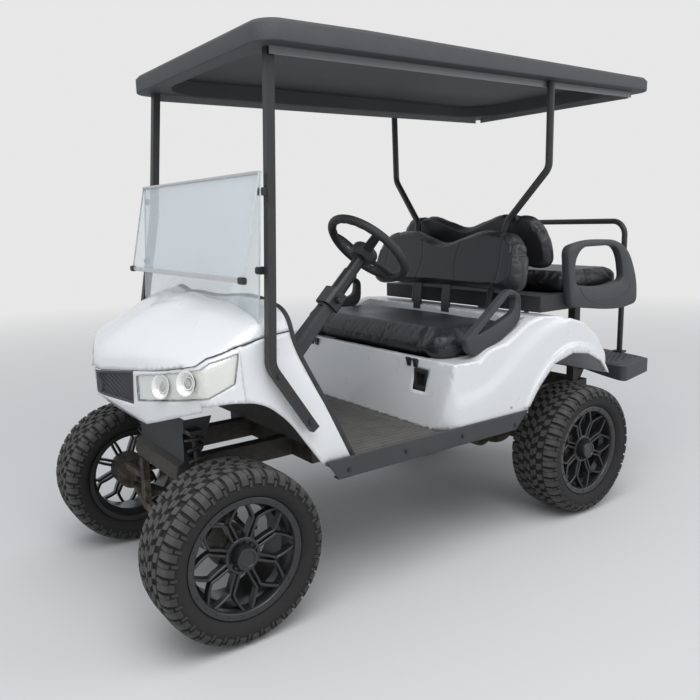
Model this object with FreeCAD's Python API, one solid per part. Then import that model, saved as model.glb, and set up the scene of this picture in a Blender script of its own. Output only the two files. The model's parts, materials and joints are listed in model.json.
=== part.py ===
# Lifted four-seat golf cart, white body, long roof, folded windscreen and rear-facing seat.
# Millimetres. +X is forward, +Y is the driver's side, +Z is up, and the tyres stand on Z = 0.
# The origin is below the middle of the whole length.
import FreeCAD, Part
import functools
import math
import os

V = FreeCAD.Vector

# Wheels and axles
WHEELBASE = 1676.0
TYRE_R = 283.0
TYRE_W = 236.0
TRACK_FRONT = 964.0
TRACK_REAR = 1034.0
RIM_LIP_R = 197.8
RIM_W = 196.0
RIM_WALL = 6.0
WINDOWS = 8
SPOKE_DEPTH = 26.0
HUB_R = 62.0
REAR_REACH = 707.0
KINGPIN_INSET = 82.0
STEER_ARM = 110.0
RACK_HALF = 155.0
RACK_TRAVEL = 59.0
SHAFT_GAP = 0.3
SEAT_GAP = 0.3

# Frame
RAIL_W = 50.0
RAIL_H = 75.0
FRAME_TOP = 505.0
MAIN_RAIL_Y = 300.0
NOSE_RAIL_Y = 160.0

# Body
FLOOR_THICK = 15.0
MAT_THICK = 4.0
WALL = 5.0
SEAM = 3.0
SKIRT_HALF = 590.0
SILL_HALF = 600.0
SILL_H = 72.0
SILL_RISE = 16.0
DECK_Z = 770.0
TRIM = 20.0

# Seats
SEAT_HALF = 503.0
CUSHION_Z = DECK_Z + 0.3
CUSHION_TOP = 880.0
BACK_THICK = 62.0
HUMP_Y = 250.0
HUMP_DIP = 50.0
BRACKET_Z = (1120.0, 1210.0)
REAR_SEAT_Z = 975.0
REAR_SEAT_TOP = 1066.0
ARM_THICK = 40.0
ARM_Y = SEAT_HALF + 7
HINGE_Y = 350.0
HINGE_W = 60.0
HINGE_R = 6.0
HINGE_PIN_R = 2.5

# Roof and struts
ROOF_HALF = 540.0
ROOF_Z = 1826.0
ROOF_CROWN = 1908.0
ROOF_RISE = 21.0
ROOF_BEVEL = 14.0
STRUT = 28.0
REAR_STRUT = 30.0

# Steering
STEER_Y = 265.0
STEER_Z = 1200.0
STEER_TILT = 46.0
STEER_R = 178.0
STEER_RIM = 15.0

# Rear deck
STEP_TOP = 598.0
TREAD = 3.0
TREAD_FRONT = 500.0
TREAD_REAR = 465.0
HOOP_HALF = 310.0
HOOP_TOP = 1271.0
HOOP_R = 14.0

# Places worked out from the sizes above
FRONT_X = (TYRE_R + WHEELBASE + REAR_REACH) / 2 - TYRE_R
REAR_X = FRONT_X - WHEELBASE
AXLE_Z = TYRE_R
KINGPIN_Y = TRACK_FRONT / 2 - KINGPIN_INSET
FLOOR_TOP = FRAME_TOP + FLOOR_THICK
FRAME_BOTTOM = FRAME_TOP - RAIL_H

# Tyre and rim forms
TREAD_PITCHES = 22
TREAD_BAND = 36.0
# Cut-outs of a wheel's face, each point (u, v) from the axle, and the share of a step it is turned by
RIM_HEXAGON = ((-10.5, 66), (10.5, 66), (35, 114), (25.5, 144), (8, 167), (-8, 167), (-25.5, 144),
               (-35, 114))
RIM_SLOT = ((-4, 68), (4, 68), (4, 104), (0, 112), (-4, 104))
RIM_FORK = ((0, 135), (22, 150), (38, 164), (0, 169), (-38, 164), (-22, 150))
RIM_CUTS = ((RIM_HEXAGON, 0.5), (RIM_SLOT, 0), (RIM_FORK, 0))

# Frame and suspension places
FLOOR_REAR = REAR_X + 776
TOE_FOOT = FRONT_X - 410
OUTRIGGERS = (FRONT_X - 480, FRONT_X - 800, REAR_X + 480)
PIVOTS = (FRONT_X - 68, FRONT_X + 46)
TOWER_TOP = FRAME_TOP + 115
ARM_LOW = AXLE_Z - 55
ARM_HIGH = AXLE_Z + 60
ARM_THICK_Z = 26.0
BOX_Z = 906.0
POST_X = REAR_X - 290
SPRING_END_Z = 395.0
STEP_REAR = REAR_X - REAR_REACH
HOOP_X = STEP_REAR + 40
NOSE_END = FRONT_X + 33
CROSS_HALF = 200.0
COIL_R = 30.0

# Front body lines, each point (dx from the front axle, z)
# Half sections of the cowl, each at dx from the front axle: sill, shoulder low, shoulder high,
# hood crease, and the height on the middle line.
COWL = (
    # dx, sill_y, low_y, low_z, high_y, high_z, crease_y, crease_z, top_z
    (-450, 578, 500, 960, 440, 1040, 210, 1062, 1072),
    (-170, 576, 508, 925, 440, 995, 170, 1052, 1068),
    (-40, 572, 520, 905, 450, 955, 130, 1022, 1042),
    (85, 560, 505, 868, 430, 905, 95, 975, 990),
    (190, 540, 480, 800, 400, 850, 50, 918, 925),
    (280, 520, 450, 740, 370, 790, 30, 853, 860),
)
COWL_BOTTOM = 470.0
NOSE_PLAN = ((239, 0), (234, 40), (169, 260), (68, 548))
CHIN = ((239, 743), (142, 650))
SEAM_LINE = ((235, 832), (150, 858), (55, 908), (-29, 928), (-145, 939), (-300, 944))
A_LINE = ((-409, FLOOR_TOP), (-337, 704), (-269, 852), (-236, 929), (-224, 981), (-214, 1024),
          (-189, 1044), (-150, 1062))
ARCH_FRONT = ((87, 764), (32, 771, "via"), (-37, 766), (-98, 750, "via"), (-145, 719),
              (-184, 682, "via"), (-219, 636), (-297, FLOOR_TOP))

# Lamps and grille
LAMP_Y = 222.0
LAMP = ((212, 738), (196, 826), (150, 846), (55, 896), (-38, 915), (-14, 828), (110, 778))
# Corners of the grille's opening, each (y, z)
GRILLE = ((0, 826), (208, 846), (200, 735), (0, 744))
SIDE_JOINT = FRONT_X - 42
DIAMOND_W = 32.0
DIAMOND_H = 14.0
DIAMOND_STEP = 39.0
DIAMOND_ROWS = (757, 777, 797, 817)
BADGE_R = 26.0
BADGE_Z = 771.0
# Foot of each reflector bowl of one headlight: dx from the front axle, y, z
LAMP_BOWLS = ((119, 330, 806), (83, 442, 830))
BOWL_FOOT_R = 14.0
BOWL_RIM_R = 42.0
BOWL_DEPTH = 34.0

# Rear body lines, each point (dx from the rear axle, z)
SIDE_TOP = ((788, DECK_Z), (653, DECK_Z), (599, 805), (512, 820), (446, 851), (376, 890),
            (303, 904), (181, 896), (37, 857), (-62, 787), (-124, 702), (-159, 610))
ARCH_REAR = ((386, 500), (386, 545), (325, 621), (231, 704), (114, 733), (7, 718), (-88, 671),
             (-134, 618), (-190, 590))
CREASE = ((956, 640), (782, 630), (635, 647, "via"), (493, 726), (404, 790, "via"), (324, 835),
          (226, 868, "via"), (106, 885))
ARCH_LIP = ((411, 544), (330, 650, "via"), (238, 726), (110, 768, "via"), (-18, 742),
            (-105, 672, "via"), (-160, 590))
FLANK_STEP = 12.0
LIP_OUT = 8.0

# Trays in the dash, each from y to y
TRAYS = ((-430, -130), (60, 170))

# Seats, hinges and the charging socket
SEAT_FRONT = REAR_X + 778
SEAT_REAR = REAR_X + 338
FACE_FOOT = 846
FRONT_HINGE = (SEAT_FRONT + 24, DECK_Z - 6)
BOX_REAR = REAR_X - 320
REAR_HINGE = (BOX_REAR - 8, REAR_SEAT_Z - 12)
PORT_Y = 405.0
PORT_Z = 690.0

# Roof and steering places
ROOF_FRONT = FRONT_X - 148
ROOF_REAR = REAR_X - 488
STEER_X = FRONT_X - 732


def box(x0, x1, y0, y1, z0, z1):
    return Part.makeBox(x1 - x0, y1 - y0, z1 - z0, V(x0, y0, z0))


def both_sides(shape):
    """The shape and its mirror image across the middle plane."""
    return [shape, shape.mirror(V(0, 0, 0), V(0, 1, 0))]


def fuse(shapes):
    solid = shapes[0].multiFuse(shapes[1:]) if len(shapes) > 1 else shapes[0]
    return solid.removeSplitter()


def main_piece(shape):
    """The largest solid of a cut shape."""
    return max(shape.Solids, key=lambda solid: solid.Volume)


def corner(before, point, after, radius):
    """Start, middle and end of the arc that rounds one corner of a path."""
    a = (before - point).normalize()
    b = (after - point).normalize()
    half = a.getAngle(b) / 2
    reach = radius / math.tan(half)
    middle = (a + b).normalize() * (radius / math.sin(half) - radius)
    return point + a * reach, point + middle, point + b * reach


def edges_through(points, closed):
    """Lines and arcs through points (position, mark).

    A number as mark rounds that corner by this radius. The mark "via" puts the point in the
    middle of an arc from the point before it to the point after it.
    """
    stops = [i for i, p in enumerate(points) if p[1] != "via"]
    count = len(points)
    entry, leave, rounds = {}, {}, []
    for i in stops:
        here, mark = points[i]
        inner = closed or 0 < i < count - 1
        if mark and inner:
            start, middle, end = corner(points[i - 1][0], here, points[(i + 1) % count][0], mark)
            rounds.append(Part.Arc(start, middle, end).toShape())
            entry[i], leave[i] = start, end
        else:
            entry[i], leave[i] = here, here
    edges = list(rounds)
    pairs = list(zip(stops, stops[1:] + stops[:1])) if closed else list(zip(stops, stops[1:]))
    for i, j in pairs:
        start, end = leave[i], entry[j]
        between = points[(i + 1) % count]
        if between[1] == "via":
            edges.append(Part.Arc(start, between[0], end).toShape())
        elif (end - start).Length > 1e-6:
            edges.append(Part.LineSegment(start, end).toShape())
    return edges


def wire(points, plane, at):
    """A closed outline in a plane; each point is (u, v) or (u, v, mark)."""
    spots = []
    for p in points:
        u, v = p[0], p[1]
        mark = p[2] if len(p) == 3 else 0
        place = {"xy": V(u, v, at), "xz": V(u, at, v), "yz": V(at, u, v)}[plane]
        spots.append((place, mark))
    return Part.Wire(Part.__sortEdges__(edges_through(spots, True)))


def prism(points, plane, low, high):
    """An outline pushed from low to high along the axis across its plane."""
    along = {"xy": V(0, 0, 1), "xz": V(0, 1, 0), "yz": V(1, 0, 0)}[plane]
    return Part.Face(wire(points, plane, low)).extrude(along * (high - low))


def tube(points, bend, size, square=False):
    """A bar along straight runs joined by arcs; size is its diameter or its side."""
    spots = [V(*p) for p in points]
    marked = [(p, bend if 0 < i < len(spots) - 1 else 0) for i, p in enumerate(spots)]
    spine = Part.Wire(Part.__sortEdges__(edges_through(marked, False)))
    start = spots[0]
    along = (spots[1] - spots[0]).normalize()
    if not square:
        section = Part.Wire(Part.Circle(start, along, size / 2).toShape())
    else:
        side = V(1, 0, 0) if abs(along.x) < 0.7 else V(0, 0, 1)
        across = along.cross(side).normalize() * (size / 2)
        up = along.cross(across).normalize() * (size / 2)
        section = Part.makePolygon([start + across + up, start - across + up,
                                    start - across - up, start + across - up,
                                    start + across + up])
    return spine.makePipeShell([section], True, False)


def turned(profile, x, z):
    """A ring or disc round an axis along Y; the profile's points are (y, radius)."""
    face = Part.Face(wire([(y, z + r) + tuple(m) for y, r, *m in profile], "yz", x))
    return face.revolve(V(x, 0, z), V(0, 1, 0), 360)


def rod(start, end, radius):
    """A straight round bar from one point to another."""
    a, b = V(*start), V(*end)
    return Part.makeCylinder(radius, (b - a).Length, a, b - a)


# Wheels

def wheel_rim(x, centre, side):
    """Barrel with two lips, and a dished face with hexagonal windows; side is the outboard way."""
    half = RIM_W / 2
    seat = RIM_LIP_R - 14
    drop = RIM_LIP_R - 34
    barrel = [(half, RIM_LIP_R), (half - 7, RIM_LIP_R), (half - 7, seat), (half - 40, seat),
              (half - 60, drop), (-half + 50, drop), (-half + 36, seat), (-half + 7, seat),
              (-half + 7, RIM_LIP_R), (-half, RIM_LIP_R), (-half, seat - RIM_WALL),
              (-half + 34, seat - RIM_WALL), (-half + 48, drop - RIM_WALL),
              (half - 62, drop - RIM_WALL), (half - 42, seat - RIM_WALL), (half, seat - RIM_WALL)]
    ring = turned([(centre + side * y, r) for y, r in barrel], x, AXLE_Z)
    face_in = half - 58
    dish = [(face_in, 0), (face_in, HUB_R), (half - 40, seat - RIM_WALL + 1),
            (half - 40 + SPOKE_DEPTH, seat - RIM_WALL + 1), (face_in + SPOKE_DEPTH, HUB_R + 12),
            (face_in + SPOKE_DEPTH, 46), (half + 2, 40), (half + 2, 0)]
    face = turned([(centre + side * y, r) for y, r in dish], x, AXLE_Z)
    low = centre + side * face_in - 60
    holes = []
    for outline, phase in RIM_CUTS:
        hole = prism([(x + u, AXLE_Z + v) for u, v in outline], "xz", low, low + 120)
        for i in range(WINDOWS):
            copy = hole.copy()
            copy.rotate(V(x, 0, AXLE_Z), V(0, 1, 0), (i + phase) * 360 / WINDOWS)
            holes.append(copy)
    pilot = centre + side * face_in
    bore = rod((x, pilot - side, AXLE_Z), (x, pilot + side * 14, AXLE_Z), 30 + SHAFT_GAP)
    return fuse([ring, face.cut(Part.makeCompound(holes))]).cut(bore)


def tyre(x, centre):
    """A tyre with staggered shoulder lugs: flat sectors round the axle, sewn into one solid."""
    half = TYRE_W / 2
    bead = RIM_W / 2 - 7 - SHAFT_GAP
    band = (TREAD_BAND, TYRE_R)
    lug = [(half - 20, TYRE_R), (half, TYRE_R - 26)]
    groove = [(half - 26, TYRE_R - 16), (half - 8, TYRE_R - 37)]
    wall = [(half - 4, TYRE_R - 55), (bead, RIM_LIP_R + 2), (bead, RIM_LIP_R - 14 + SHAFT_GAP)]
    count = 2 * TREAD_PITCHES
    step = 2 * math.pi / count
    grow = 1 / math.cos(step / 2)

    def spot(y, r, i):
        angle = (i - 0.5) * step - math.pi / 2
        return V(x + r * grow * math.cos(angle), centre + y, AXLE_Z + r * grow * math.sin(angle))

    faces = []
    for i in range(count):
        left = [band] + (lug if i % 2 else groove) + wall
        right = [band] + (groove if i % 2 else lug) + wall
        line = left[::-1] + [(-y, r) for y, r in right]
        for a, b in zip(line, line[1:] + line[:1]):
            corners = [spot(*a, i), spot(*a, i + 1), spot(*b, i + 1), spot(*b, i)]
            faces.append(Part.Face(Part.makePolygon(corners + corners[:1])))
        for way in (1, -1):
            step_line = [band] + lug + wall[:1] + groove[::-1] + [band]
            faces.append(Part.Face(Part.makePolygon([spot(way * y, r, i) for y, r in step_line])))
    shell = Part.makeShell(faces)
    shell.sewShape()
    solid = Part.makeSolid(shell.Shells[0])
    return solid if solid.Volume > 0 else solid.reversed()


def wheels():
    """Rim and tyre of each wheel, by name."""
    parts = {}
    for place, x, track in (("front", FRONT_X, TRACK_FRONT), ("rear", REAR_X, TRACK_REAR)):
        for name, side in (("left", 1), ("right", -1)):
            centre = side * track / 2
            parts[f"rim_{place}_{name}"] = wheel_rim(x, centre, side)
            parts[f"tyre_{place}_{name}"] = tyre(x, centre)
    return parts


def hub_face_y(track):
    """Where a wheel's dished face bolts to its hub."""
    return track / 2 + RIM_W / 2 - 58 - SHAFT_GAP


# Frame and suspension

def chassis_frame():
    """Ladder frame with front rails, drop brackets, outriggers, step arms and seat posts."""
    half = RAIL_W / 2
    rear = REAR_X - 374
    joint = FRONT_X - 410
    bars = []
    for side in (1, -1):
        y = side * MAIN_RAIL_Y
        bars.append(box(rear, joint, y - half, y + half, FRAME_BOTTOM, FRAME_TOP))
        y = side * NOSE_RAIL_Y
        bars.append(box(joint - 80, NOSE_END, y - half, y + half, FRAME_BOTTOM, FRAME_TOP))
        for x in PIVOTS:
            bars.append(box(x - 12, x + 12, y - 20, y + 20, AXLE_Z - 60, FRAME_BOTTOM))
        y = side * (NOSE_RAIL_Y - 10)
        bars.append(box(FRONT_X - 25, FRONT_X + 25, y - 15, y + 15, FRAME_TOP, TOWER_TOP))
        y = side * (NOSE_RAIL_Y + 45)
        bars.append(box(FRONT_X - 25, FRONT_X + 25, y - 45, y + 45, TOWER_TOP - 15, TOWER_TOP))
    main = MAIN_RAIL_Y + half
    for x in (rear, REAR_X + 296, FLOOR_REAR + 40, joint - 50):
        bars.append(box(x, x + 50, -main, main, FRAME_BOTTOM, FRAME_TOP))
    cross = [(-RAIL_W, FRAME_BOTTOM), (20, FRAME_BOTTOM), (29, FRAME_TOP - 51), (22, FRAME_TOP - 15),
             (0, FRAME_TOP), (-RAIL_W, FRAME_TOP)]
    bars.append(prism([(NOSE_END + x, z) for x, z in cross], "xz", -CROSS_HALF, CROSS_HALF))
    for x in PIVOTS:
        bars.append(box(x - 12, x + 12, -NOSE_RAIL_Y, NOSE_RAIL_Y, AXLE_Z - 60, AXLE_Z - 30))
    for x in OUTRIGGERS:
        for side in (1, -1):
            y0, y1 = sorted((side * MAIN_RAIL_Y, side * (SILL_HALF - 6)))
            bars.append(box(x - 20, x + 20, y0, y1, FLOOR_TOP - 50, FLOOR_TOP - 20))
    arm_top = STEP_TOP - 8
    arm = [(rear + 10, FRAME_BOTTOM), (rear + 10, FRAME_TOP), (rear - 60, arm_top),
           (STEP_REAR + 45, arm_top), (STEP_REAR + 45, arm_top - 40), (rear - 70, arm_top - 40)]
    for side in (1, -1):
        y = side * 245
        bars.append(prism(arm, "xz", y - 20, y + 20))
        y = side * MAIN_RAIL_Y
        bars.append(box(POST_X - 20, POST_X + 20, y - 20, y + 20, FRAME_TOP, BOX_Z))
        for x in (REAR_X + 300, REAR_X - 330):
            bars.append(box(x - 20, x + 20, y - half, y + half, SPRING_END_Z, FRAME_BOTTOM))
    return [fuse(bars)]


def control_arms():
    """Upper and lower A-arms of both front wheels."""
    arms = []
    inner = NOSE_RAIL_Y + 20
    rear, front = (x - FRONT_X for x in PIVOTS)
    end = [(18, KINGPIN_Y), (0, KINGPIN_Y + 18, "via"), (-18, KINGPIN_Y)]
    lower = [(rear - 12, inner), (rear + 12, inner), ((rear + front) / 2, inner + 82, 20),
             (front - 12, inner), (front + 12, inner)] + end
    upper = [(rear - 12, inner), (rear + 12, inner), (-52, inner + 150), (52, inner + 150),
             (front - 12, inner), (front + 12, inner), (72, inner + 150)] + end + [(-72, inner + 150)]
    for plan, low in ((lower, ARM_LOW), (upper, ARM_HIGH)):
        outline = [(FRONT_X + x, y, *m) for x, y, *m in plan]
        arms += both_sides(prism(outline, "xy", low, low + ARM_THICK_Z))
    return arms


def damper_line():
    """Foot and head of a damper on the driver's side."""
    foot = V(FRONT_X, 300, ARM_LOW + ARM_THICK_Z - 4)
    head = V(FRONT_X, NOSE_RAIL_Y + 60, TOWER_TOP - 14)
    return foot, head


def coil_overs(arms, frame):
    """A damper with a coil round it, from each lower arm up to its tower."""
    foot, head = damper_line()
    way = (head - foot).normalize()
    damper = rod(foot, head, 14)
    spring = rod(foot + way * 50, head - way * 26, COIL_R).cut(rod(foot, head, COIL_R - 9))
    seat = rod(foot + way * 42, foot + way * 50, COIL_R + 4)
    cap = rod(head - way * 26, head - way * 18, COIL_R + 4)
    unit = fuse([damper, spring, seat, cap]).cut(arms[0]).cut(frame)
    return both_sides(main_piece(unit))


def rack_housing():
    """Steering gear across the frame, with its mounting feet on the drop brackets."""
    z = AXLE_Z + 10
    x = FRONT_X - STEER_ARM
    body = rod((x, -RACK_HALF, z), (x, RACK_HALF, z), 24)
    foot_y = NOSE_RAIL_Y - 20
    feet = both_sides(box(x - 15, x + 15, foot_y - 12, foot_y + 12, z + 10, FRAME_BOTTOM))
    tower = rod((x, STEER_Y * 0.4, z), (x, STEER_Y * 0.4, z + 70), 20)
    bore = rod((x, -RACK_HALF - 5, z), (x, RACK_HALF + 5, z), 12 + SHAFT_GAP)
    return [fuse([body, tower] + feet).cut(bore)]


def tie_rods():
    """The rack bar and its two tie rods, which slide across as one piece."""
    z = AXLE_Z + 10
    x = FRONT_X - STEER_ARM
    ball = RACK_HALF + RACK_TRAVEL + 6
    bar = rod((x, -ball - 5, z), (x, ball + 5, z), 12)
    tip = KINGPIN_Y - 8
    rods = []
    for side in (1, -1):
        rods.append(rod((x, side * ball, z), (x, side * (ball + 42), z), 20))
        rods.append(rod((x, side * (ball + 38), z), (x, side * tip, z - 26), 9))
        rods.append(rod((x, side * tip, z - 40), (x, side * tip, AXLE_Z + 6 - SHAFT_GAP), 13))
    return [fuse([bar] + rods)]


def knuckle(side):
    """Upright with its spindle, brake drum and steering arm, on the kingpin line."""
    y = side * KINGPIN_Y
    hub = hub_face_y(TRACK_FRONT)
    low = ARM_LOW + ARM_THICK_Z + SHAFT_GAP
    high = ARM_HIGH - SHAFT_GAP
    post = rod((FRONT_X, y, low), (FRONT_X, y, high), 18)
    y0, y1 = sorted((y, y + side * 30))
    block = box(FRONT_X - 16, FRONT_X + 16, y0, y1, low + 8, high - 8)
    drum = rod((FRONT_X, y + side * 27, AXLE_Z), (FRONT_X, side * (hub - 6), AXLE_Z), 70)
    flange = rod((FRONT_X, side * (hub - 6), AXLE_Z), (FRONT_X, side * hub, AXLE_Z), 58)
    pilot = rod((FRONT_X, side * hub, AXLE_Z), (FRONT_X, side * (hub + 12), AXLE_Z), 30)
    arm = box(FRONT_X - STEER_ARM - 15, FRONT_X, y - 15, y + 15, AXLE_Z + 6, AXLE_Z + 18)
    return [fuse([post, block, drum, flange, pilot, arm])]


def rear_axle(springs):
    """Axle tube with its gear case, brake drums and the drive motor beside the case."""
    hub = hub_face_y(TRACK_REAR)
    parts = [rod((REAR_X, -hub + 90, AXLE_Z), (REAR_X, hub - 90, AXLE_Z), 38)]
    parts.append(Part.makeSphere(95, V(REAR_X, 60, AXLE_Z)))
    parts.append(rod((REAR_X + 150, -150, AXLE_Z + 20), (REAR_X + 150, 120, AXLE_Z + 20), 88))
    parts.append(box(REAR_X - 30, REAR_X + 150, 40, 110, AXLE_Z - 50, AXLE_Z + 50))
    for side in (1, -1):
        parts.append(rod((REAR_X, side * (hub - 96), AXLE_Z), (REAR_X, side * (hub - 6), AXLE_Z), 82))
        parts.append(rod((REAR_X, side * (hub - 6), AXLE_Z), (REAR_X, side * hub, AXLE_Z), 58))
        parts.append(rod((REAR_X, side * hub, AXLE_Z), (REAR_X, side * (hub + 12), AXLE_Z), 30))
        y = side * MAIN_RAIL_Y
        parts.append(box(REAR_X - 45, REAR_X + 45, y - 28, y + 28, AXLE_Z + 20, AXLE_Z + 62))
    return [fuse(parts).cut(Part.makeCompound(springs))]


def leaf_springs():
    """A leaf pack on each side between its hangers, and a damper in front of the axle."""
    middle = AXLE_Z + 60
    front, back = REAR_X + 300, REAR_X - 330
    pack = [(front, SPRING_END_Z - 10), (REAR_X, middle, "via"), (back, SPRING_END_Z - 10),
            (back, SPRING_END_Z), (back + 70, SPRING_END_Z - 3), (REAR_X, middle + 26, "via"),
            (front - 70, SPRING_END_Z - 3), (front, SPRING_END_Z)]
    springs = []
    for side in (1, -1):
        y = side * MAIN_RAIL_Y
        spring = prism(pack, "xz", y - 22, y + 22)
        springs.append(spring)
    return springs


# Front body

def cowl_section(row, inset):
    """One closed section of the cowl: arcs up a side, over the crown and down the other side."""
    dx, sill_y, low_y, low_z, high_y, high_z, crease_y, crease_z, top_z = row
    x = FRONT_X + dx
    bottom = COWL_BOTTOM - 4 * inset
    half = [(sill_y - inset, bottom), ((sill_y + low_y) / 2 + 6 - inset, (COWL_BOTTOM + low_z) / 2),
            (low_y - inset, low_z - inset * 0.5),
            ((low_y + high_y) / 2 + (low_y - high_y) * 0.18 - inset * 0.8,
             (low_z + high_z) / 2 + (high_z - low_z) * 0.18 - inset * 0.8),
            (high_y - inset * 0.6, high_z - inset),
            ((high_y + crease_y) / 2, (high_z + crease_z) / 2 + 4 - inset),
            (crease_y, crease_z - inset)]
    spots = []
    for i, (y, z) in enumerate(half):
        spots.append((V(x, y, z), "via" if i % 2 else 0))
    spots.append((V(x, 0, top_z - inset), "via"))
    for i, (y, z) in reversed(list(enumerate(half))):
        spots.append((V(x, -y, z), "via" if i % 2 else 0))
    return Part.Wire(Part.__sortEdges__(edges_through(spots, True)))


@functools.cache
def cowl_block(inset):
    """The solid outside form of the nose and cowl, moved inwards by inset."""
    form = Part.makeLoft([cowl_section(row, inset) for row in COWL], True, False)
    (nose, _), (beak, beak_y), (cheek, cheek_y), (corner_x, corner_y) = NOSE_PLAN
    rear = COWL[0][0] - 50
    plan = [(nose, 0, "via"), (beak, beak_y), (cheek, cheek_y, "via"), (corner_x, corner_y),
            (corner_x - 60, 640), (rear, 640), (rear, -640), (corner_x - 60, -640),
            (corner_x, -corner_y), (cheek, -cheek_y, "via"), (beak, -beak_y)]
    plan = plan[1:] + plan[:1]
    outline = [(FRONT_X + x - inset,) + tuple(rest) for x, *rest in plan]
    form = form.common(prism(outline, "xy", COWL_BOTTOM - 50, 1200))
    (face_x, face_z), (chin_x, chin_z) = CHIN
    slope = (face_z - chin_z) / (face_x - chin_x)
    far = 300
    under = [(face_x - inset, face_z), (face_x - inset + far, face_z + slope * far),
             (face_x + far, 300), (chin_x - inset - far, 300),
             (chin_x - inset - far, chin_z - slope * far)]
    return form.cut(prism([(FRONT_X + x, z) for x, z in under], "xz", -700, 700))


def below(line, drop, bottom):
    """The region of the side view under a line of points, let down by drop."""
    first, last = line[0], line[-1]
    region = [(first[0] + 200, first[1] - drop)] + [(x, z - drop) for x, z in line]
    region += [(last[0] - 300, last[1] - drop), (last[0] - 300, bottom), (first[0] + 200, bottom)]
    return [(FRONT_X + x, z) for x, z in region]


def arch_cut():
    """Wheel opening of the cowl, as seen from the side."""
    first, last = ARCH_FRONT[0], ARCH_FRONT[-1]
    region = [*ARCH_FRONT, (last[0] - 20, 440), (first[0], 440)]
    return prism([(FRONT_X + x, z, *m) for x, z, *m in region], "xz", -700, 700)


def a_line_cut(shift):
    """Everything behind the rear edge of the cowl, moved back by shift."""
    first, last = A_LINE[0], A_LINE[-1]
    region = [(first[0] - shift - 16, first[1] - 40)]
    region += [(x - shift, z) for x, z in A_LINE]
    region += [(last[0] - shift + 60, last[1] + 60), (-700, last[1] + 60), (-700, first[1] - 40)]
    return prism([(FRONT_X + x, z) for x, z in region], "xz", -700, 700)


def under_cut():
    """Lower edge of the bumper, as seen from the front."""
    half = [(0, 640), (150, 650), (300, 690), (450, 735), (560, 764), (700, 790)]
    region = half + [(700, 400), (-700, 400)] + [(-y, z) for y, z in reversed(half[1:])]
    return prism(region, "yz", FRONT_X + ARCH_FRONT[0][0], FRONT_X + 400)


def lamp_region(inset):
    """Where the headlights sit in the cowl, as seen from the side; both sides of the nose."""
    loop = wire([(FRONT_X + x, z) for x, z in LAMP], "xz", 0)
    face = Part.Face(loop.makeOffset2D(-inset) if inset else loop)
    return both_sides(face.extrude(V(0, 700, 0)).cut(box(0, FRONT_X + 400, -1, LAMP_Y + inset, 400, 1200)))


def grille_region(inset):
    """Where the grille sits in the nose, as seen from the front."""
    top_mid, top_side, low_side, low_mid = GRILLE
    loop = [(0, top_mid[1] - inset), (top_side[0] - inset, top_side[1] - inset),
            (low_side[0] - inset, low_side[1] + inset), (0, low_mid[1] + inset),
            (-low_side[0] + inset, low_side[1] + inset), (-top_side[0] + inset, top_side[1] - inset)]
    return prism(loop, "yz", FRONT_X + 120, FRONT_X + 400)


def diamonds():
    """Staggered rows of diamond openings, pushed through the grille."""
    holes = []
    for row, z in enumerate(DIAMOND_ROWS):
        count = 9 - row % 2
        for i in range(count):
            y = (i - (count - 1) / 2) * DIAMOND_STEP
            outline = [(y - DIAMOND_W / 2, z), (y, z + DIAMOND_H / 2), (y + DIAMOND_W / 2, z),
                       (y, z - DIAMOND_H / 2)]
            holes.append(prism(outline, "yz", FRONT_X + 120, FRONT_X + 400))
    return holes


def front_body():
    """Fascia, its side panels, hood, edge trim, grille and headlights, all cut from one shell."""
    outer = cowl_block(0)
    inner = cowl_block(WALL)
    shell = outer.cut(inner)
    full = shell.cut(a_line_cut(0))
    seam_low = prism(below(SEAM_LINE, SEAM / 2, 300), "xz", -700, 700)
    seam_high = prism(below(SEAM_LINE, -SEAM / 2, 300), "xz", -700, 700)
    floor_cut = box(0, FRONT_X + 400, -700, 700, 300, FLOOR_TOP)
    fascia = full.common(seam_low).cut(arch_cut()).cut(under_cut()).cut(floor_cut)
    fascia = fascia.cut(Part.makeCompound(lamp_region(0))).cut(grille_region(0))
    sides = fascia.common(box(0, SIDE_JOINT, -700, 700, FLOOR_TOP, 1200))
    fascia = fascia.common(box(SIDE_JOINT + SEAT_GAP, FRONT_X + 400, -700, 700, FLOOR_TOP, 1200))
    hood = full.cut(seam_high)
    trim = shell.common(a_line_cut(0.3)).cut(a_line_cut(TRIM)).cut(floor_cut)
    lenses = shell.common(Part.makeCompound(lamp_region(0.5)))
    recess = cowl_block(WALL + SEAT_GAP).cut(cowl_block(WALL + 8))
    grille = recess.common(grille_region(-8)).cut(Part.makeCompound(diamonds()))
    badge = rod((FRONT_X, 0, BADGE_Z), (FRONT_X + 400, 0, BADGE_Z), BADGE_R)
    badge = badge.common(cowl_block(2)).cut(cowl_block(WALL + 8))
    grille = main_piece(fuse([grille, badge]))
    return fascia, sides, hood, trim, lenses, grille


def lamp_housings():
    """A housing behind each lens with two round reflector bowls."""
    shell = cowl_block(WALL + SEAT_GAP).cut(cowl_block(WALL + 30))
    way = V(0.92, 0.33, 0.2)
    bowls = []
    for dx, y, z in LAMP_BOWLS:
        foot = V(FRONT_X + dx, y, z)
        bowls += both_sides(Part.makeCone(BOWL_FOOT_R, BOWL_RIM_R, BOWL_DEPTH, foot, way))
    return shell.common(Part.makeCompound(lamp_region(-5))).cut(Part.makeCompound(bowls))


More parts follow.
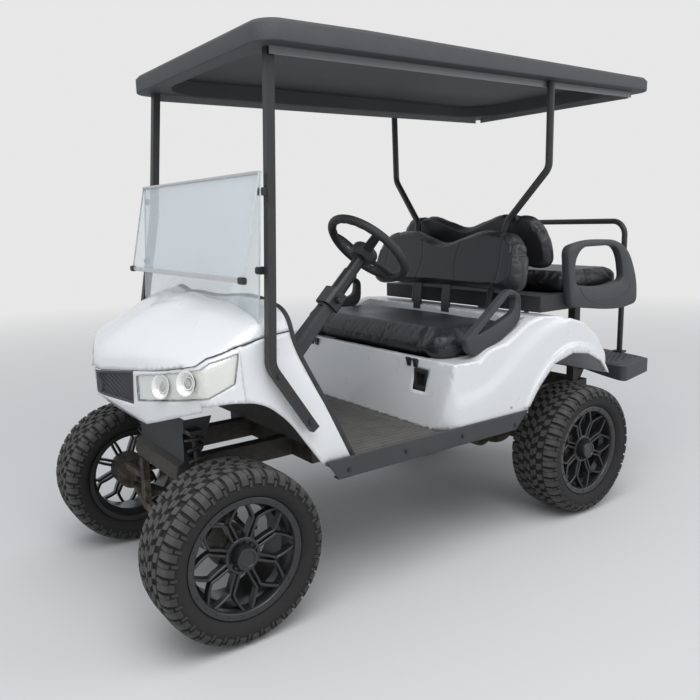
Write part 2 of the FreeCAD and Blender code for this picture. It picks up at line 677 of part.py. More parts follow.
def floor_panel():
    """Floor, toe board and firewall in one bent sheet, trimmed to the inside of the cowl."""
    toe = FRONT_X - 305
    profile = [(FLOOR_REAR, FRAME_TOP), (FLOOR_REAR, FLOOR_TOP), (TOE_FOOT, FLOOR_TOP),
               (toe, 690), (toe + 20, 800), (toe + 28, 800), (toe + 8, 688), (TOE_FOOT + 12, FRAME_TOP)]
    sheet = prism(profile, "xz", -SILL_HALF + 31, SILL_HALF - 31)
    cowl = cowl_block(WALL + SEAT_GAP)
    flat = box(FLOOR_REAR, TOE_FOOT + 20, -SILL_HALF + 31, SILL_HALF - 31, FRAME_TOP, FLOOR_TOP)
    mat_rear = FLOOR_REAR + 78
    mat_half = SILL_HALF - 50
    mat = [(mat_rear, -mat_half, 12), (TOE_FOOT - 6, -mat_half, 12), (TOE_FOOT - 6, mat_half, 12),
           (mat_rear, mat_half, 12)]
    return fuse([sheet.common(cowl), flat, prism(mat, "xy", FLOOR_TOP, FLOOR_TOP + MAT_THICK)])


def dash():
    """Moulded dash between the cowl's sides, with a long tray and a short one."""
    profile = [(-290, 800), (-262, 930), (-214, 1040, 14), (-150, 1046), (-150, 1020), (-190, 1000),
               (-215, 930), (-240, 800)]
    body = prism([(FRONT_X + x, z, *m) for x, z, *m in profile], "xz", -700, 700)
    body = body.common(cowl_block(WALL + SEAT_GAP))
    trays = [box(FRONT_X - 300, FRONT_X - 238, y0, y1, 850, 910) for y0, y1 in TRAYS]
    return body.cut(Part.makeCompound(trays))


def column_axis():
    """A point of the steering column's axis, and its direction up to the wheel."""
    tilt = math.radians(STEER_TILT)
    return V(STEER_X, STEER_Y, STEER_Z), V(-math.cos(tilt), 0, math.sin(tilt))


def steering_wheel():
    """Rim, three spokes and a hub cup, turned about the column's axis."""
    centre, way = column_axis()
    rim = Part.makeTorus(STEER_R - STEER_RIM, STEER_RIM, centre, way)
    pad = Part.makeCylinder(44, 26, centre - way * 52, way)
    dome = Part.makeCone(52, 40, 24, centre - way * 26, way)
    across = V(0, 1, 0)
    up = way.cross(across)
    spokes = []
    for angle in (90, 210, 330):
        a = math.radians(angle)
        out = across * math.cos(a) + up * math.sin(a)
        wide = across * -math.sin(a) + up * math.cos(a)
        foot = centre - way * 24 + out * 30
        tip = centre + out * (STEER_R - STEER_RIM)
        corners = [foot + wide * 19, tip + wide * 13, tip - wide * 13, foot - wide * 19]
        spoke = Part.Face(Part.makePolygon(corners + corners[:1])).extrude(way * 8)
        spoke.translate(way * -4)
        spokes.append(spoke)
    socket = Part.makeCylinder(11 + SHAFT_GAP, 30, centre - way * 53, way)
    return [fuse([rim, pad, dome] + spokes).cut(socket)]


def steering_column(cut_from):
    """Column tube from the firewall to the wheel, its cover and the shaft's end."""
    centre, way = column_axis()
    tube_top = centre - way * 60
    length = 560
    tube_bottom = centre - way * (60 + length)
    body = Part.makeCylinder(24, length, tube_bottom, way)
    shaft = Part.makeCylinder(11, 40, centre - way * 70, way)
    cover = Part.makeCone(46, 34, 150, centre - way * 260, way)
    foot = Part.makeCylinder(44, 10, tube_bottom, way)
    return [main_piece(fuse([body, shaft, cover, foot]).cut(cut_from))]


def pedals(floor):
    """Accelerator and brake, each on an arm out of the toe board."""
    parts = []
    for y, width, height in ((165, 55, 110), (262, 85, 75)):
        pad = box(TOE_FOOT - 22, TOE_FOOT - 14, y - width / 2, y + width / 2, 600, 600 + height)
        pad.rotate(V(TOE_FOOT - 18, y, 600 + height / 2), V(0, 1, 0), 25)
        arm = rod((TOE_FOOT - 18, y, 600 + height / 2), (TOE_FOOT + 90, y, 640), 8)
        parts.append(main_piece(fuse([pad, arm]).cut(floor)))
    return parts


# Rear body

def rear_side(inset):
    """The rear body's outline as seen from the side, moved inwards by inset."""
    low = FLOOR_TOP - inset * 3
    top = [(x, z - inset) for x, z in SIDE_TOP]
    profile = [(FACE_FOOT - inset, low)] + top + [(top[-1][0] + inset, low)]
    return prism([(REAR_X + x, z) for x, z in profile], "xz", -700, 700)


@functools.cache
def rear_body_block(inset):
    """The solid outside form of the rear body: its flanks stand proud below a sloping crease."""
    half = SKIRT_HALF - inset
    nose = REAR_X + FACE_FOOT - inset
    tail = REAR_X + SIDE_TOP[-1][0] + inset
    plan = [(nose, -half, 100 - inset), (nose, half, 100 - inset), (tail, half, 40 - inset),
            (tail, -half, 40 - inset)]
    form = rear_side(inset).common(prism(plan, "xy", 400, 1000))
    line = [(REAR_X + x, z, *m) for x, z, *m in CREASE]
    sky_z = 1100
    region = line + [(line[-1][0], sky_z), (line[0][0], sky_z)]
    face = Part.Face(wire(region, "xz", half - FLANK_STEP))
    face.translate(V(4, 0, 9))
    flank = face.extrude(V(-8, 2 * FLANK_STEP, -18))
    return form.cut(Part.makeCompound(both_sides(flank)))


def rear_body(battery_bay):
    """Hollow rear body with a pocket for the front seat, lipped wheel arches and a battery bay."""
    pocket_half = SEAT_HALF + 6
    pocket_rear = SEAT_REAR - 8
    pocket = box(pocket_rear, REAR_X + 900, -pocket_half, pocket_half, DECK_Z, 1000)
    pocket_wall = box(pocket_rear - WALL, REAR_X + 900, -pocket_half - WALL, pocket_half + WALL,
                      DECK_Z - WALL, 1000)
    lip = prism([(REAR_X + x, z, *m) for x, z, *m in ARCH_LIP], "xz", SKIRT_HALF - WALL,
                SKIRT_HALF + LIP_OUT).common(rear_side(0))
    outer = fuse([rear_body_block(0)] + both_sides(lip)).cut(pocket)
    inner = rear_body_block(WALL).cut(pocket_wall)
    shell = outer.cut(inner)
    region = list(ARCH_REAR) + [(-400, 590), (-400, 300), (386, 300)]
    arch = prism([(REAR_X + x, z) for x, z in region], "xz", -700, 700)
    port = box(REAR_X + 700, REAR_X + 900, PORT_Y - 38, PORT_Y + 38, PORT_Z - 42, PORT_Z + 42)
    return [main_piece(shell.cut(arch).cut(port).cut(battery_bay))]


def charge_receptacle():
    """Square charging socket in the front face on the driver's side."""
    plate = box(REAR_X + 770, REAR_X + 806, PORT_Y - 37.5, PORT_Y + 37.5, PORT_Z - 41.5, PORT_Z + 41.5)
    well = box(REAR_X + 780, REAR_X + 830, PORT_Y - 26, PORT_Y + 26, PORT_Z - 26, PORT_Z + 26)
    return [plate.cut(well)]


def rockers():
    """Channel-section sills with sloping ends, whose outer wall stands up past the floor."""
    flange, rise = FLOOR_TOP, FLOOR_TOP + SILL_RISE
    low = rise - SILL_H
    inner = SILL_HALF - 6
    section = [(SILL_HALF - 30, flange), (inner, flange), (inner, rise), (SILL_HALF, rise, 4),
               (SILL_HALF, low, 6), (SILL_HALF - 30, low), (SILL_HALF - 30, low + 6),
               (inner, low + 6), (inner, flange - 6), (SILL_HALF - 30, flange - 6)]
    front, back = FRONT_X - 291, REAR_X + 394
    bar = prism(section, "yz", back, front)
    for end, slant in ((front, -49), (back, 78)):
        out = 60 if end == front else -60
        wedge = [(end, rise), (end + slant, low), (end + out, low), (end + out, rise)]
        bar = bar.cut(prism(wedge, "xz", 0, 700))
    return both_sides(bar)


def battery_block():
    """The battery pack under the front seat, as one plain block on the frame."""
    return [box(REAR_X + 420, FLOOR_REAR - 20, -400, 400, FRAME_TOP, DECK_Z - 30)]


# Seats

def hinge_barrels(x, z, lid_leaf, fixed_leaf):
    """Two hinges along Y: the lid's middle barrels with their leaves, and the fixed ones with pins."""
    lid, fixed = [], []
    half, middle = HINGE_W / 2, HINGE_W / 6
    for y in (-HINGE_Y, HINGE_Y):
        bore = rod((x, y - half, z), (x, y + half, z), HINGE_PIN_R + SHAFT_GAP)
        barrel = rod((x, y - middle, z), (x, y + middle, z), HINGE_R)
        lid.append(fuse([barrel, prism(lid_leaf, "xz", y - middle, y + middle)]).cut(bore))
        bars = [rod((x, y - half, z), (x, y + half, z), HINGE_PIN_R)]
        for y0, y1 in ((y - half, y - middle - SHAFT_GAP), (y + middle + SHAFT_GAP, y + half)):
            bars.append(rod((x, y0, z), (x, y1, z), HINGE_R))
            bars.append(prism(fixed_leaf, "xz", y0, y1))
        fixed.append(fuse(bars))
    return lid, fixed


def front_hinges():
    """Hinges in front of the base, under the front edge of the front cushion."""
    x, z = FRONT_HINGE
    edge = SEAT_FRONT
    lid_leaf = [(edge, CUSHION_Z + 0.4), (edge + 14, CUSHION_Z + 0.4), (x - 5, z), (x + 5, z),
                (x + 4, z + 8), (edge + 9, z + 36), (edge + 2, z + 36)]
    face = REAR_X + SIDE_TOP[0][0] + SEAT_GAP
    slope = (FACE_FOOT - SIDE_TOP[0][0]) / (DECK_Z - FLOOR_TOP)
    fixed_leaf = [(face + slope * (DECK_Z - z), z), (face + slope * (DECK_Z - z + 30), z - 30),
                  (face + slope * (DECK_Z - z + 30) + 3, z - 30), (x + 3, z - 5), (x, z)]
    return hinge_barrels(x, z, lid_leaf, fixed_leaf)


def rear_hinges():
    """Hinges on the back of the seat box, under the overhang of the rear cushion."""
    x, z = REAR_HINGE
    wall = BOX_REAR
    lid_leaf = [(x - 3, z), (x + 3, z), (x + 3, REAR_SEAT_Z), (x - 35, REAR_SEAT_Z),
                (x - 35, REAR_SEAT_Z - 3), (x - 3, REAR_SEAT_Z - 3)]
    fixed_leaf = [(wall, z + 5), (wall, z - 34), (wall - 3, z - 34), (x - 2, z), (x, z + 5)]
    return hinge_barrels(x, z, lid_leaf, fixed_leaf)


def front_seat_cushion():
    """Front bench cushion, hinged at its front lower edge."""
    profile = [(SEAT_REAR, CUSHION_Z), (SEAT_REAR, CUSHION_TOP - 12, 20), (SEAT_FRONT - 90, CUSHION_TOP),
               (SEAT_FRONT + 8, CUSHION_TOP - 14, 34), (SEAT_FRONT, CUSHION_Z)]
    body = prism(profile, "xz", -SEAT_HALF, SEAT_HALF)
    plan = [(SEAT_REAR - 5, -SEAT_HALF, 40), (SEAT_FRONT + 20, -SEAT_HALF, 60),
            (SEAT_FRONT + 20, SEAT_HALF, 60), (SEAT_REAR - 5, SEAT_HALF, 40)]
    cushion = body.common(prism(plan, "xy", CUSHION_Z - 5, CUSHION_TOP + 20))
    return [fuse([cushion] + front_hinges()[0])]


def back_cushion(foot_x, foot_z, lean, height, flare):
    """A backrest with two humps and flared sides, standing on its lower edge and leaning back."""
    foot = SEAT_HALF - 10
    half = foot + flare
    outline = [(-foot, 0, 50), (foot, 0, 50), (half, height - 110), (HUMP_Y, height, "via"),
               (0, height - HUMP_DIP), (-HUMP_Y, height, "via"), (-half, height - 110)]
    body = prism([(y, foot_z + z) + tuple(m) for y, z, *m in outline], "yz", foot_x - BACK_THICK, foot_x)
    body.rotate(V(foot_x, 0, foot_z), V(0, 1, 0), lean)
    return body


def seat_brackets(struts, backs):
    """Clamps on the rear struts that both backrests are bolted to, and the fixed hinge halves."""
    brackets = []
    for z in BRACKET_Z:
        for y in (-258, 258):
            block = box(REAR_X + 90, REAR_X + 290, y - 40, y + 40, z - 14, z + 14)
            brackets.append(block.cut(Part.makeCompound(struts + backs)))
    return [main_piece(b) for b in brackets] + front_hinges()[1] + rear_hinges()[1]


def hip_restraints():
    """Looped guards at both ends of the front bench."""
    outer = [(704, 847, 20), (674, 781, 30), (560, 800, 60), (391, 890, 30), (389, 999, 24),
             (459, 1033, 30)]
    hole = [(640, 860, 12), (560, 880, 20), (430, 930, 16), (424, 990, 12), (462, 1000, 14)]
    y0 = SEAT_HALF + 11
    plate = prism([(REAR_X + x, z, r) for x, z, r in outer], "xz", y0, y0 + 34)
    gap = prism([(REAR_X + x, z, r) for x, z, r in hole], "xz", y0 - 5, y0 + 45)
    return plate.cut(gap)


def armrests():
    """Looped armrests at both ends of the rear bench."""
    outer = [(68, 919, 30), (-272, 876, 200), (-422, 898, 30), (-414, 1010, 40), (-345, 1142, 40),
             (-247, 1196, 50), (-37, 1203, 60), (108, 1177, 30), (86, 1010, 30)]
    hole = [(44, 1012, 24), (51, 1118, 30), (1, 1172, 30), (-234, 1172, 50), (-282, 1118, 30),
            (-305, 1014, 24), (-140, 990, 120)]
    y0 = ARM_Y
    plate = prism([(REAR_X + x, z, r) for x, z, r in outer], "xz", y0, y0 + ARM_THICK)
    gap = prism([(REAR_X + x, z, r) for x, z, r in hole], "xz", y0 - 5, y0 + ARM_THICK + 5)
    return both_sides(plate.cut(gap))


def rear_seat_box():
    """Storage box and shell under the rear cushion, standing on the body and on the posts."""
    low = BOX_Z
    outer = box(BOX_REAR, REAR_X + 226, -ARM_Y, ARM_Y, low, REAR_SEAT_Z - SEAT_GAP)
    well = box(REAR_X - 300, REAR_X + 80, -SEAT_HALF + 60, SEAT_HALF - 60, low + 6, REAR_SEAT_Z)
    return [outer.cut(well)]


def rear_seat_cushion():
    """Rear bench cushion, hinged at its outer lower edge."""
    front, back = REAR_X + 66, REAR_X - 384
    profile = [(front, REAR_SEAT_Z), (front, REAR_SEAT_TOP, 20), (back + 60, REAR_SEAT_TOP - 10),
               (back, REAR_SEAT_TOP - 30, 30), (back, REAR_SEAT_Z)]
    return [fuse([prism(profile, "xz", -SEAT_HALF + 4, SEAT_HALF - 4)] + rear_hinges()[0])]


# Roof, struts and windscreen

def roof_plan():
    """Outline of the roof as seen from above."""
    return [(ROOF_FRONT, -ROOF_HALF, 80), (ROOF_FRONT, ROOF_HALF, 80), (ROOF_REAR, ROOF_HALF, 80),
            (ROOF_REAR, -ROOF_HALF, 80)]


def roof_block(inset):
    """The roof's outside form: rounded corners and a crown in both directions, let in by inset."""
    block = prism(roof_plan(), "xy", ROOF_Z - 60, ROOF_CROWN + 40)
    middle = (ROOF_FRONT + ROOF_REAR) / 2
    top = ROOF_CROWN - inset
    low = ROOF_Z - 4 * inset
    side = [(ROOF_FRONT + 50, low), (ROOF_FRONT + 50, top - 16), (middle, top, "via"),
            (ROOF_REAR - 50, top - 2), (ROOF_REAR - 50, low + ROOF_RISE)]
    across = [(-ROOF_HALF - 20, low - 10), (-ROOF_HALF - 20, top - 8), (0, top, "via"),
              (ROOF_HALF + 20, top - 8), (ROOF_HALF + 20, low - 10)]
    return block.common(prism(side, "xz", -700, 700)).common(prism(across, "yz", -1400, 1400))


def roof():
    """Moulded roof with bevelled upper edges and a wide recess beneath."""
    block = roof_block(0)
    outline = wire(roof_plan(), "xy", 0)
    rim = []
    for edge in block.Edges:
        middle = edge.valueAt((edge.FirstParameter + edge.LastParameter) / 2)
        away = outline.distToShape(Part.Vertex(middle.x, middle.y, 0))[0]
        if away < 0.5 and edge.BoundBox.ZMin > ROOF_Z + ROOF_RISE + 6:
            rim.append(edge)
    block = block.makeChamfer(ROOF_BEVEL, rim)
    inner = [(ROOF_FRONT - 70, -ROOF_HALF + 90, 200), (ROOF_FRONT - 70, ROOF_HALF - 90, 200),
             (ROOF_REAR + 90, ROOF_HALF - 90, 200), (ROOF_REAR + 90, -ROOF_HALF + 90, 200)]
    pocket = prism(inner, "xy", ROOF_Z - 80, ROOF_CROWN).common(roof_block(2 * WALL))
    return [block.cut(pocket)]


def front_struts(roof_solid, glass):
    """Square tubes from the cowl's sides up to the roof, bent back at the foot."""
    path = [(FRONT_X - 262, 578, 650), (FRONT_X - 126, 552, 868), (FRONT_X - 188, 480, 1350),
            (FRONT_X - 222, 454, 1850)]
    bar = tube(path, 60, STRUT, True)
    clips = [box(FRONT_X - 190, FRONT_X - 140, 462, 486, z - 12, z + 12) for z in (1160, 1400)]
    post = fuse([bar] + clips).cut(Part.makeCompound(glass)).cut(roof_solid).cut(cowl_block(0))
    return both_sides(main_piece(post))


def rear_struts(roof_solid):
    """Round tubes from the roof down, bent inwards to pass between the two backrests."""
    path = [(REAR_X + 262, 250, 880), (REAR_X + 228, 250, 1100), (REAR_X + 191, 295, 1290),
            (REAR_X + 167, 488, 1500), (REAR_X + 173, 493, 1860)]
    bar = tube(path, 60, REAR_STRUT)
    return both_sides(main_piece(bar.cut(roof_solid).cut(rear_body_block(0))))


def windshield(cowl):
    """Two clear panels, the upper one folded down in front of the lower one."""
    hinge = (FRONT_X - 155, 1454)
    low = (FRONT_X - 126, 1000)
    free = (FRONT_X - 85, 1132)
    half = 486
    thick = 5
    lower = prism([hinge, (hinge[0] - thick, hinge[1]), (low[0] - thick, low[1]), low],
                  "xz", -half, half).cut(cowl)
    upper = prism([(hinge[0] + SEAT_GAP, hinge[1]), (hinge[0] + thick, hinge[1]),
                   (free[0] + thick, free[1]), free], "xz", -half, half)
    return lower, upper


def footrest(frame):
    """Moulded step with a bowed rear edge and a skirt that is deeper at its outer corners."""
    front = REAR_X - 352
    plan = [(front, -547, 30), (STEP_REAR + 81, -496), (STEP_REAR, 0, "via"), (STEP_REAR + 81, 496),
            (front, 547, 30)]
    outer = prism(plan, "xy", STEP_TOP - 90, STEP_TOP)
    small = [(front - 8, -539, 25), (STEP_REAR + 89, -488), (STEP_REAR + 8, 0, "via"),
             (STEP_REAR + 89, 488), (front - 8, 539, 25)]
    shell = outer.cut(prism(small, "xy", STEP_TOP - 95, STEP_TOP - 8))
    waist = [(-700, STEP_TOP - 90), (-430, STEP_TOP - 60), (-330, STEP_TOP - 45), (330, STEP_TOP - 45),
             (430, STEP_TOP - 60), (700, STEP_TOP - 90), (700, STEP_TOP - 200), (-700, STEP_TOP - 200)]
    tread = [(front - 18, -TREAD_FRONT, 20), (HOOP_X + 34, -TREAD_REAR, 20),
             (HOOP_X + 34, TREAD_REAR, 20), (front - 18, TREAD_FRONT, 20)]
    tread = prism(tread, "xy", STEP_TOP, STEP_TOP + TREAD)
    return [fuse([shell.cut(prism(waist, "yz", -1400, 0)).cut(frame), tread])]


def grab_hoop():
    """Inverted U standing on the step."""
    x = HOOP_X
    path = [(x, -HOOP_HALF, STEP_TOP), (x, -HOOP_HALF, HOOP_TOP), (x, HOOP_HALF, HOOP_TOP),
            (x, HOOP_HALF, STEP_TOP)]
    bar = tube(path, 70, 2 * HOOP_R)
    feet = both_sides(box(x - 22, x + 22, HOOP_HALF - 26, HOOP_HALF + 26, STEP_TOP, STEP_TOP + 10))
    return [fuse([bar] + feet)]


def front_shroud(frame):
    """Guard under the nose: a flat front panel standing on the cross member, and two side walls."""
    face = [(NOSE_END - 7, 650), (NOSE_END, FRAME_TOP), (NOSE_END - 6, FRAME_TOP), (NOSE_END - 13, 650)]
    wall = [(NOSE_END - 7, 650), (NOSE_END, FRAME_TOP), (NOSE_END + 20, FRAME_TOP - 15),
            (NOSE_END + 26, FRAME_TOP - 47), (NOSE_END - 28, FRAME_TOP - 31), (FRONT_X - 41, 539),
            (FRONT_X - 78, 650)]
    panel = prism(face, "xz", -CROSS_HALF - 4, CROSS_HALF + 4)
    foot, head = damper_line()
    coil_space = both_sides(rod(foot, head, COIL_R + 10))
    walls = both_sides(prism(wall, "xz", CROSS_HALF, CROSS_HALF + 4))
    return [main_piece(fuse([panel] + walls).cut(frame).cut(Part.makeCompound(coil_space)))]


def build():
    nodes = {}
    nodes.update({name: [shape] for name, shape in wheels().items()})
    nodes["chassis_frame"] = chassis_frame()
    frame = nodes["chassis_frame"][0]
    nodes["control_arms"] = control_arms()
    nodes["coil_overs"] = coil_overs(nodes["control_arms"], frame)
    nodes["rack_housing"] = rack_housing()
    nodes["tie_rods"] = tie_rods()
    nodes["knuckle_left"] = knuckle(1)
    nodes["knuckle_right"] = knuckle(-1)
    nodes["leaf_springs"] = leaf_springs()
    nodes["rear_axle"] = rear_axle(nodes["leaf_springs"])
    fascia, sides, hood, trim, lenses, grille = front_body()
    nodes["front_fascia"] = [fascia]
    nodes["cowl_sides"] = [sides]
    nodes["hood"] = [hood]
    nodes["cowl_trim"] = [trim]
    nodes["headlight_lenses"] = [lenses]
    nodes["headlight_housings"] = [lamp_housings()]
    nodes["grille"] = [grille]
    nodes["floor"] = [floor_panel()]
    nodes["dash"] = [dash()]
    nodes["steering_wheel"] = steering_wheel()
    blockers = Part.makeCompound(nodes["floor"])
    nodes["steering_column"] = steering_column(blockers)
    nodes["pedals"] = pedals(nodes["floor"][0])
    nodes["battery_block"] = battery_block()
    bay = box(REAR_X + 415, FLOOR_REAR - 15, -405, 405, DECK_Z - 20, DECK_Z + 20)
    nodes["rear_body"] = rear_body(bay)
    nodes["charge_receptacle"] = charge_receptacle()
    nodes["rockers"] = rockers()
    nodes["front_seat_cushion"] = front_seat_cushion()
    front_back = back_cushion(REAR_X + 358, 985, -15, 306, 22)
    nodes["front_seat_back"] = [front_back]
    nodes["hip_restraints"] = both_sides(main_piece(hip_restraints().cut(rear_body_block(0))))
    nodes["rear_seat_box"] = rear_seat_box()
    nodes["rear_seat_cushion"] = rear_seat_cushion()
    rear_back = back_cushion(REAR_X + 135, 1075, 8, 270, 8)
    nodes["rear_seat_back"] = [rear_back]
    nodes["armrests"] = armrests()
    nodes["roof"] = roof()
    lower, upper = windshield(cowl_block(-SEAT_GAP))
    nodes["front_struts"] = front_struts(nodes["roof"][0], [lower, upper])
    nodes["rear_struts"] = rear_struts(nodes["roof"][0])
    nodes["seat_brackets"] = seat_brackets(nodes["rear_struts"], [front_back, rear_back])
    nodes["windshield_lower"] = [lower]
    nodes["windshield_upper"] = [upper]
    nodes["footrest"] = footrest(frame)
    nodes["grab_hoop"] = grab_hoop()
    nodes["front_shroud"] = front_shroud(frame)
    return nodes


def export(nodes):
    os.makedirs("parts", exist_ok=True)
    for name, solids in nodes.items():
        pieces = [solid for shape in solids for solid in shape.Solids]
        Part.makeCompound(pieces).exportStep(f"parts/{name}.step")
        print(name, len(pieces), round(sum(p.Volume for p in pieces) / 1000))


export(build())
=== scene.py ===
# A lifted four-seat golf cart: finishes, padded seats, tyres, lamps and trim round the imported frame.
# Metres, with +X forward, +Y to the driver's side and +Z up, as in the frame.
import json
import math

import bmesh
import bpy
import numpy as np
from mathutils import Matrix, Vector


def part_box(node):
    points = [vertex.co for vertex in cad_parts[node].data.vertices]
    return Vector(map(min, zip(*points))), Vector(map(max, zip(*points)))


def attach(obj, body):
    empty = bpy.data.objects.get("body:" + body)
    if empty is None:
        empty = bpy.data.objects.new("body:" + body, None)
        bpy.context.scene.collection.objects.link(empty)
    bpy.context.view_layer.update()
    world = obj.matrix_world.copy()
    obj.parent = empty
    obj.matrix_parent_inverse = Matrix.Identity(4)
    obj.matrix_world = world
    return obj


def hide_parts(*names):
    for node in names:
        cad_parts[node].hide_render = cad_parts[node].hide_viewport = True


bl_info = {
    "name": "Golf cart",
    "version": (1, 0, 0),
    "blender": (4, 5, 0),
    "location": "3D View > Sidebar > Golf cart",
    "description": "Dresses the packed frame of a lifted four-seat golf cart",
    "category": "Object",
}

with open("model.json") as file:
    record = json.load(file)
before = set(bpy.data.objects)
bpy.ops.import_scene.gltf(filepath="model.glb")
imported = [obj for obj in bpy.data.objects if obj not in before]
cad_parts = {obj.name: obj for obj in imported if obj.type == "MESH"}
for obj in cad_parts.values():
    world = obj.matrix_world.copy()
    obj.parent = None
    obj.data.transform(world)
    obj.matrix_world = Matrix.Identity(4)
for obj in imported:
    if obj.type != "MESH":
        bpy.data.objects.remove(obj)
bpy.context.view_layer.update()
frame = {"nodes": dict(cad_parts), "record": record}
NODES = frame["nodes"]
BEHAVIOUR = frame["record"]["behaviour"]
JOINTS = {joint["name"]: joint for joint in BEHAVIOUR["joints"]}
BODY_OF = {node: body for body, nodes in BEHAVIOUR["bodies"].items() for node in nodes}


def node_box(name):
    """Lowest and highest corner of a frame node, as arrays."""
    low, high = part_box(name)
    return np.array(low), np.array(high)


# Shader expressions

class Sock:
    """A socket of a shader tree; arithmetic on it adds Math nodes."""

    def __init__(self, graph, link):
        self.graph = graph
        self.link = link

    def __add__(self, other):
        return self.graph.math("ADD", self, other)

    def __radd__(self, other):
        return self.graph.math("ADD", other, self)

    def __sub__(self, other):
        return self.graph.math("SUBTRACT", self, other)

    def __rsub__(self, other):
        return self.graph.math("SUBTRACT", other, self)

    def __mul__(self, other):
        return self.graph.math("MULTIPLY", self, other)

    def __rmul__(self, other):
        return self.graph.math("MULTIPLY", other, self)

    def __truediv__(self, other):
        return self.graph.math("DIVIDE", self, other)

    def __pow__(self, other):
        return self.graph.math("POWER", self, other)

    def wave(self):
        """Its sine."""
        return self.graph.math("SINE", self)

    def clamped(self):
        """It again, held between 0 and 1."""
        return self.graph.node("ShaderNodeClamp", {}, {"Value": self})

    def above(self, edge, soft):
        """0 below edge and 1 above it, with a soft step."""
        return ((self - (edge - soft / 2)) / soft).clamped()


class Graph:
    """The node tree of a material or of the world, written as expressions."""

    def __init__(self, owner, ending="ShaderNodeOutputMaterial"):
        self.owner = owner
        owner.use_nodes = True
        self.tree = owner.node_tree
        self.tree.nodes.clear()
        self.out = self.tree.nodes.new(ending)

    def plug(self, socket, value):
        """Links a socket to another one, or sets its own value."""
        if isinstance(value, Sock):
            self.tree.links.new(value.link, socket)
        else:
            socket.default_value = value

    def node(self, kind, settings, inputs, out=0):
        """A node of this type; settings first, then the values or links of its sockets."""
        made = self.tree.nodes.new(kind)
        for key, value in settings.items():
            setattr(made, key, value)
        for key, value in inputs.items():
            self.plug(made.inputs[key], value)
        return Sock(self, made.outputs[out])

    def math(self, operation, a, b=0.0):
        """A Math node on two values or links."""
        return self.node("ShaderNodeMath", {"operation": operation}, {0: a, 1: b})

    def place(self):
        """The point's place in the frame."""
        return self.node("ShaderNodeTexCoord", {}, {}, "Object")

    def parts(self, vector):
        """X, Y and Z of a vector."""
        split = self.tree.nodes.new("ShaderNodeSeparateXYZ")
        self.plug(split.inputs[0], vector)
        return [Sock(self, split.outputs[i]) for i in range(3)]

    def noise(self, vector, scale, detail=3.0, rough=0.55):
        """Clouds with this many spots in a metre."""
        return self.node("ShaderNodeTexNoise", {}, {"Vector": vector, "Scale": scale,
                                                    "Detail": detail, "Roughness": rough})

    def cells(self, vector, scale):
        """Distance to the nearest of scattered points, this many in a metre."""
        return self.node("ShaderNodeTexVoronoi", {"feature": "F1"},
                         {"Vector": vector, "Scale": scale}, "Distance")

    def blend(self, mask, dark, light):
        """Mix of two colours by a mask."""
        return self.node("ShaderNodeMix", {"data_type": "RGBA"}, {0: mask, 6: dark, 7: light}, 2)

    def bump(self, height, distance, strength=1.0):
        """A normal tilted by a height of at most this distance."""
        return self.node("ShaderNodeBump", {}, {"Height": height, "Distance": distance,
                                                "Strength": strength})

    def surface(self, **inputs):
        """Ends the tree in a Principled shader; names are its sockets with _ for a space."""
        named = {key.replace("_", " "): value for key, value in inputs.items()}
        return self.ended(self.node("ShaderNodeBsdfPrincipled", {}, named))

    def mixed(self, factor, first, second):
        """Ends the tree in a mix of two shaders."""
        return self.ended(self.node("ShaderNodeMixShader", {}, {0: factor, 1: first, 2: second}))

    def ended(self, shader):
        """Ends the tree in this shader and gives its owner back."""
        self.plug(self.out.inputs["Surface"], shader)
        return self.owner


def finish_graph(name):
    """The empty tree of a new material."""
    return Graph(bpy.data.materials.new(name))


def rgb(r, g, b):
    """A colour without transparency."""
    return (r, g, b, 1.0)


def grey(level):
    """A neutral colour."""
    return rgb(level, level, level)


def painted_body(colour):
    """Gloss white gel coat: hardly any texture, a little road dust low down."""
    g = finish_graph("white_body")
    place = g.place()
    z = g.parts(place)[2]
    dust = g.noise(place, 9.0, 4.0) * (1 - z.above(0.62, 0.25))
    base = g.blend(dust * 0.35, rgb(*colour), rgb(0.47, 0.44, 0.40))
    rough = 0.24 + g.noise(place, 14.0) * 0.10
    return g.surface(Base_Color=base, Roughness=rough, Coat_Weight=0.5, Coat_Roughness=0.06)


def moulded(name, dark, light, grain, depth, rough):
    """Grained moulded plastic: cells of a fine leather-like grain, lighter where the grain stands higher
    and darker in its pits, over random clouds.
    """
    g = finish_graph(name)
    place = g.place()
    cells = g.cells(place, grain)
    cloud = g.noise(place, 11.0, 4.0)
    base = g.blend((cloud * 0.75 + cells * 0.3).clamped(), rgb(*dark), rgb(*light))
    height = cells * 0.7 + g.noise(place, grain * 2.1, 2.0) * 0.4
    return g.surface(Base_Color=base, Roughness=rough + cloud * 0.14,
                     Normal=g.bump(height, depth, 0.8))


def coated(name, dark, light, rough, dirt=0.0):
    """Powder-coated steel with a fine orange peel, and dried mud towards the road."""
    g = finish_graph(name)
    place = g.place()
    z = g.parts(place)[2]
    cloud = g.noise(place, 23.0, 5.0)
    base = g.blend(cloud, rgb(*dark), rgb(*light))
    mud = (g.noise(place, 31.0, 6.0, 0.7).above(0.5, 0.22) * (1 - z.above(0.42, 0.3)) * dirt)
    base = g.blend(mud, base, rgb(0.145, 0.120, 0.092))
    peel = g.noise(place, 420.0, 1.0)
    return g.surface(Base_Color=base, Roughness=(rough + mud * 0.35 + cloud * 0.1).clamped(),
                     Normal=g.bump(peel, 0.0004, 0.5))


def vinyl():
    """Black marine vinyl: a fine haircell grain, its shine softer and its colour lighter in random clouds.
    """
    g = finish_graph("seat_vinyl")
    place = g.place()
    grain = g.cells(place, 900.0) * 0.6 + g.cells(place, 430.0) * 0.4
    cloud = g.noise(place, 6.0, 3.0)
    base = g.blend(cloud, rgb(0.010, 0.010, 0.012), rgb(0.021, 0.021, 0.025))
    return g.surface(Base_Color=base, Roughness=0.34 + cloud * 0.16, Specular_IOR_Level=0.55,
                     Normal=g.bump(grain, 0.0005, 0.5))


